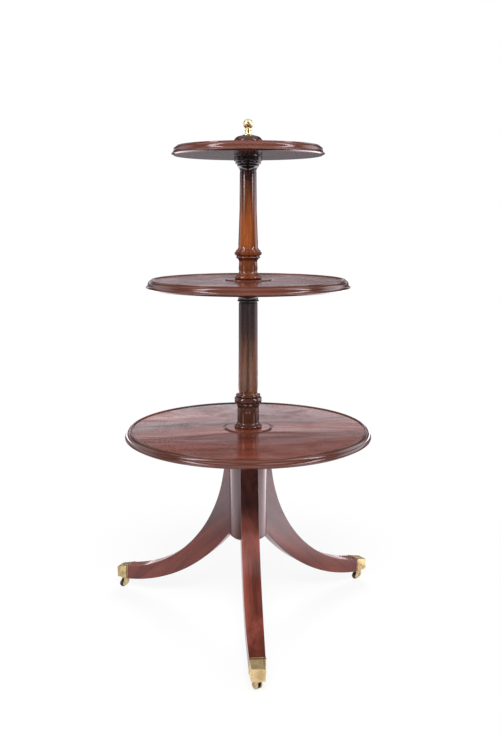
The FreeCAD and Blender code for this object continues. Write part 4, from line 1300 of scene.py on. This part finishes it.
def wall_brightness(tree, settings):
    """Brightness of the studio wall at each place."""
    x, y, height = split(object_place(tree))
    rise = times(ramp(height, *BAND_RISE), settings.wall_band - settings.wall_low)
    fall = times(ramp(height, *BAND_FALL), settings.wall_high - settings.wall_band)
    level = plus(rise, fall, settings.wall_low)
    # The band is brighter at the left.
    level = times(level, plus(times(ramp(x, 1.3, -1.3), 0.35), 0.85))
    behind = ramp(y, -1.5, 1.5)
    level = plus(times(minus(level, settings.wall_front), behind), settings.wall_front)
    level = largest(level, times(ramp(height, *CEILING_RISE), settings.ceiling))
    beside = times(ramp(y, *SIDE_BACK), ramp(height, *SIDE_HEIGHT))
    for way, strength in ((1.0, settings.wall_right), (-1.0, settings.wall_left)):
        side = ramp(times(x, way), *SIDE_ACROSS)
        level = largest(level, times(side, beside, strength))
    azimuth = maths("ARCTAN2", x, times(y, -1.0))
    upright = times(ramp(height, *STRIP_HEIGHT), ramp(reach_of(x, y), *STRIP_REACH))
    for turn, width in STRIPS:
        apart = maths("ABSOLUTE", minus(azimuth, math.radians(turn)))
        strip = ramp(apart, math.radians(width), math.radians(width * 0.5))
        level = largest(level, times(strip, upright, settings.strips))
    return level


def studio_wall(settings):
    """A round wall that only mirrors see.

    It is grey low down, with a bright band, and dark above and towards the camera. Its sides, two tall
    strips and the ceiling are bright too.
    """
    mesh = bpy.data.meshes.new("studio wall")
    shape = bmesh.new()
    bmesh.ops.create_cone(
        shape, cap_ends=True, segments=64, radius1=WALL_RADIUS, radius2=WALL_RADIUS, depth=WALL_HEIGHT
    )
    bmesh.ops.translate(shape, verts=shape.verts, vec=(0.0, 0.0, WALL_MIDDLE))
    floor_side = [face for face in shape.faces if face.normal.z < -0.5]
    bmesh.ops.delete(shape, geom=floor_side, context="FACES")
    closed(shape, mesh)
    material, tree, shader = new_material("studio wall")
    tree.nodes.remove(shader)
    strength = wall_brightness(tree, settings)
    glow = add_node(tree, "ShaderNodeEmission", Color=WALL_TINT, Strength=strength)
    fill(tree.nodes["Material Output"], Surface=glow.outputs[0])
    mesh.materials.append(material)
    wall = placed("studio_wall", mesh)
    for rays in ("camera", "diffuse", "transmission", "shadow"):
        setattr(wall, "visible_" + rays, False)


def set_world(scene, settings):
    """An even surround that the camera and reflections see as white."""
    world = bpy.data.worlds.new("studio")
    world.use_nodes = True
    tree = world.node_tree
    direct = times(seen_directly(tree), 1.0 - settings.surround)
    fill(
        tree.nodes["Background"], Color=(*settings.background, 1.0),
        Strength=plus(direct, settings.surround),
    )
    scene.world = world


class DUMBWAITER_PT_stand(bpy.types.Panel):
    """Sizes, finishes and makers of the dumbwaiter"""

    bl_idname = "DUMBWAITER_PT_stand"
    bl_label = "Dumbwaiter Stand"
    bl_space_type = "VIEW_3D"
    bl_region_type = "UI"
    bl_category = "Dumbwaiter"

    def draw(self, context):
        stand = context.scene.stand
        for name in ("trays", "columns", "casters", "wood", "brass", "stage"):
            box = self.layout.box()
            box.label(text=name.title())
            group = getattr(stand, name)
            for key in group.__annotations__:
                box.prop(group, key)
        for maker in MAKERS:
            self.layout.operator(maker.bl_idname)


MAKERS = (
    DUMBWAITER_OT_stage, DUMBWAITER_OT_trays, DUMBWAITER_OT_columns, DUMBWAITER_OT_base,
    DUMBWAITER_OT_finial, DUMBWAITER_OT_toe_caps, DUMBWAITER_OT_casters, DUMBWAITER_OT_fittings,
)
CLASSES = SETTINGS + (StandSettings,) + MAKERS + (DUMBWAITER_PT_stand,)


def register():
    for item in CLASSES:
        bpy.utils.register_class(item)
    bpy.types.Scene.stand = PointerProperty(type=StandSettings)


def unregister():
    del bpy.types.Scene.stand
    for item in reversed(CLASSES):
        bpy.utils.unregister_class(item)


def main():
    register()
    bpy.ops.dumbwaiter.stage()
    bpy.ops.dumbwaiter.trays()
    bpy.ops.dumbwaiter.columns()
    bpy.ops.dumbwaiter.base()
    bpy.ops.dumbwaiter.finial()
    bpy.ops.dumbwaiter.toe_caps()
    bpy.ops.dumbwaiter.casters()
    bpy.ops.dumbwaiter.fittings()


if __name__ == "__main__":
    main()
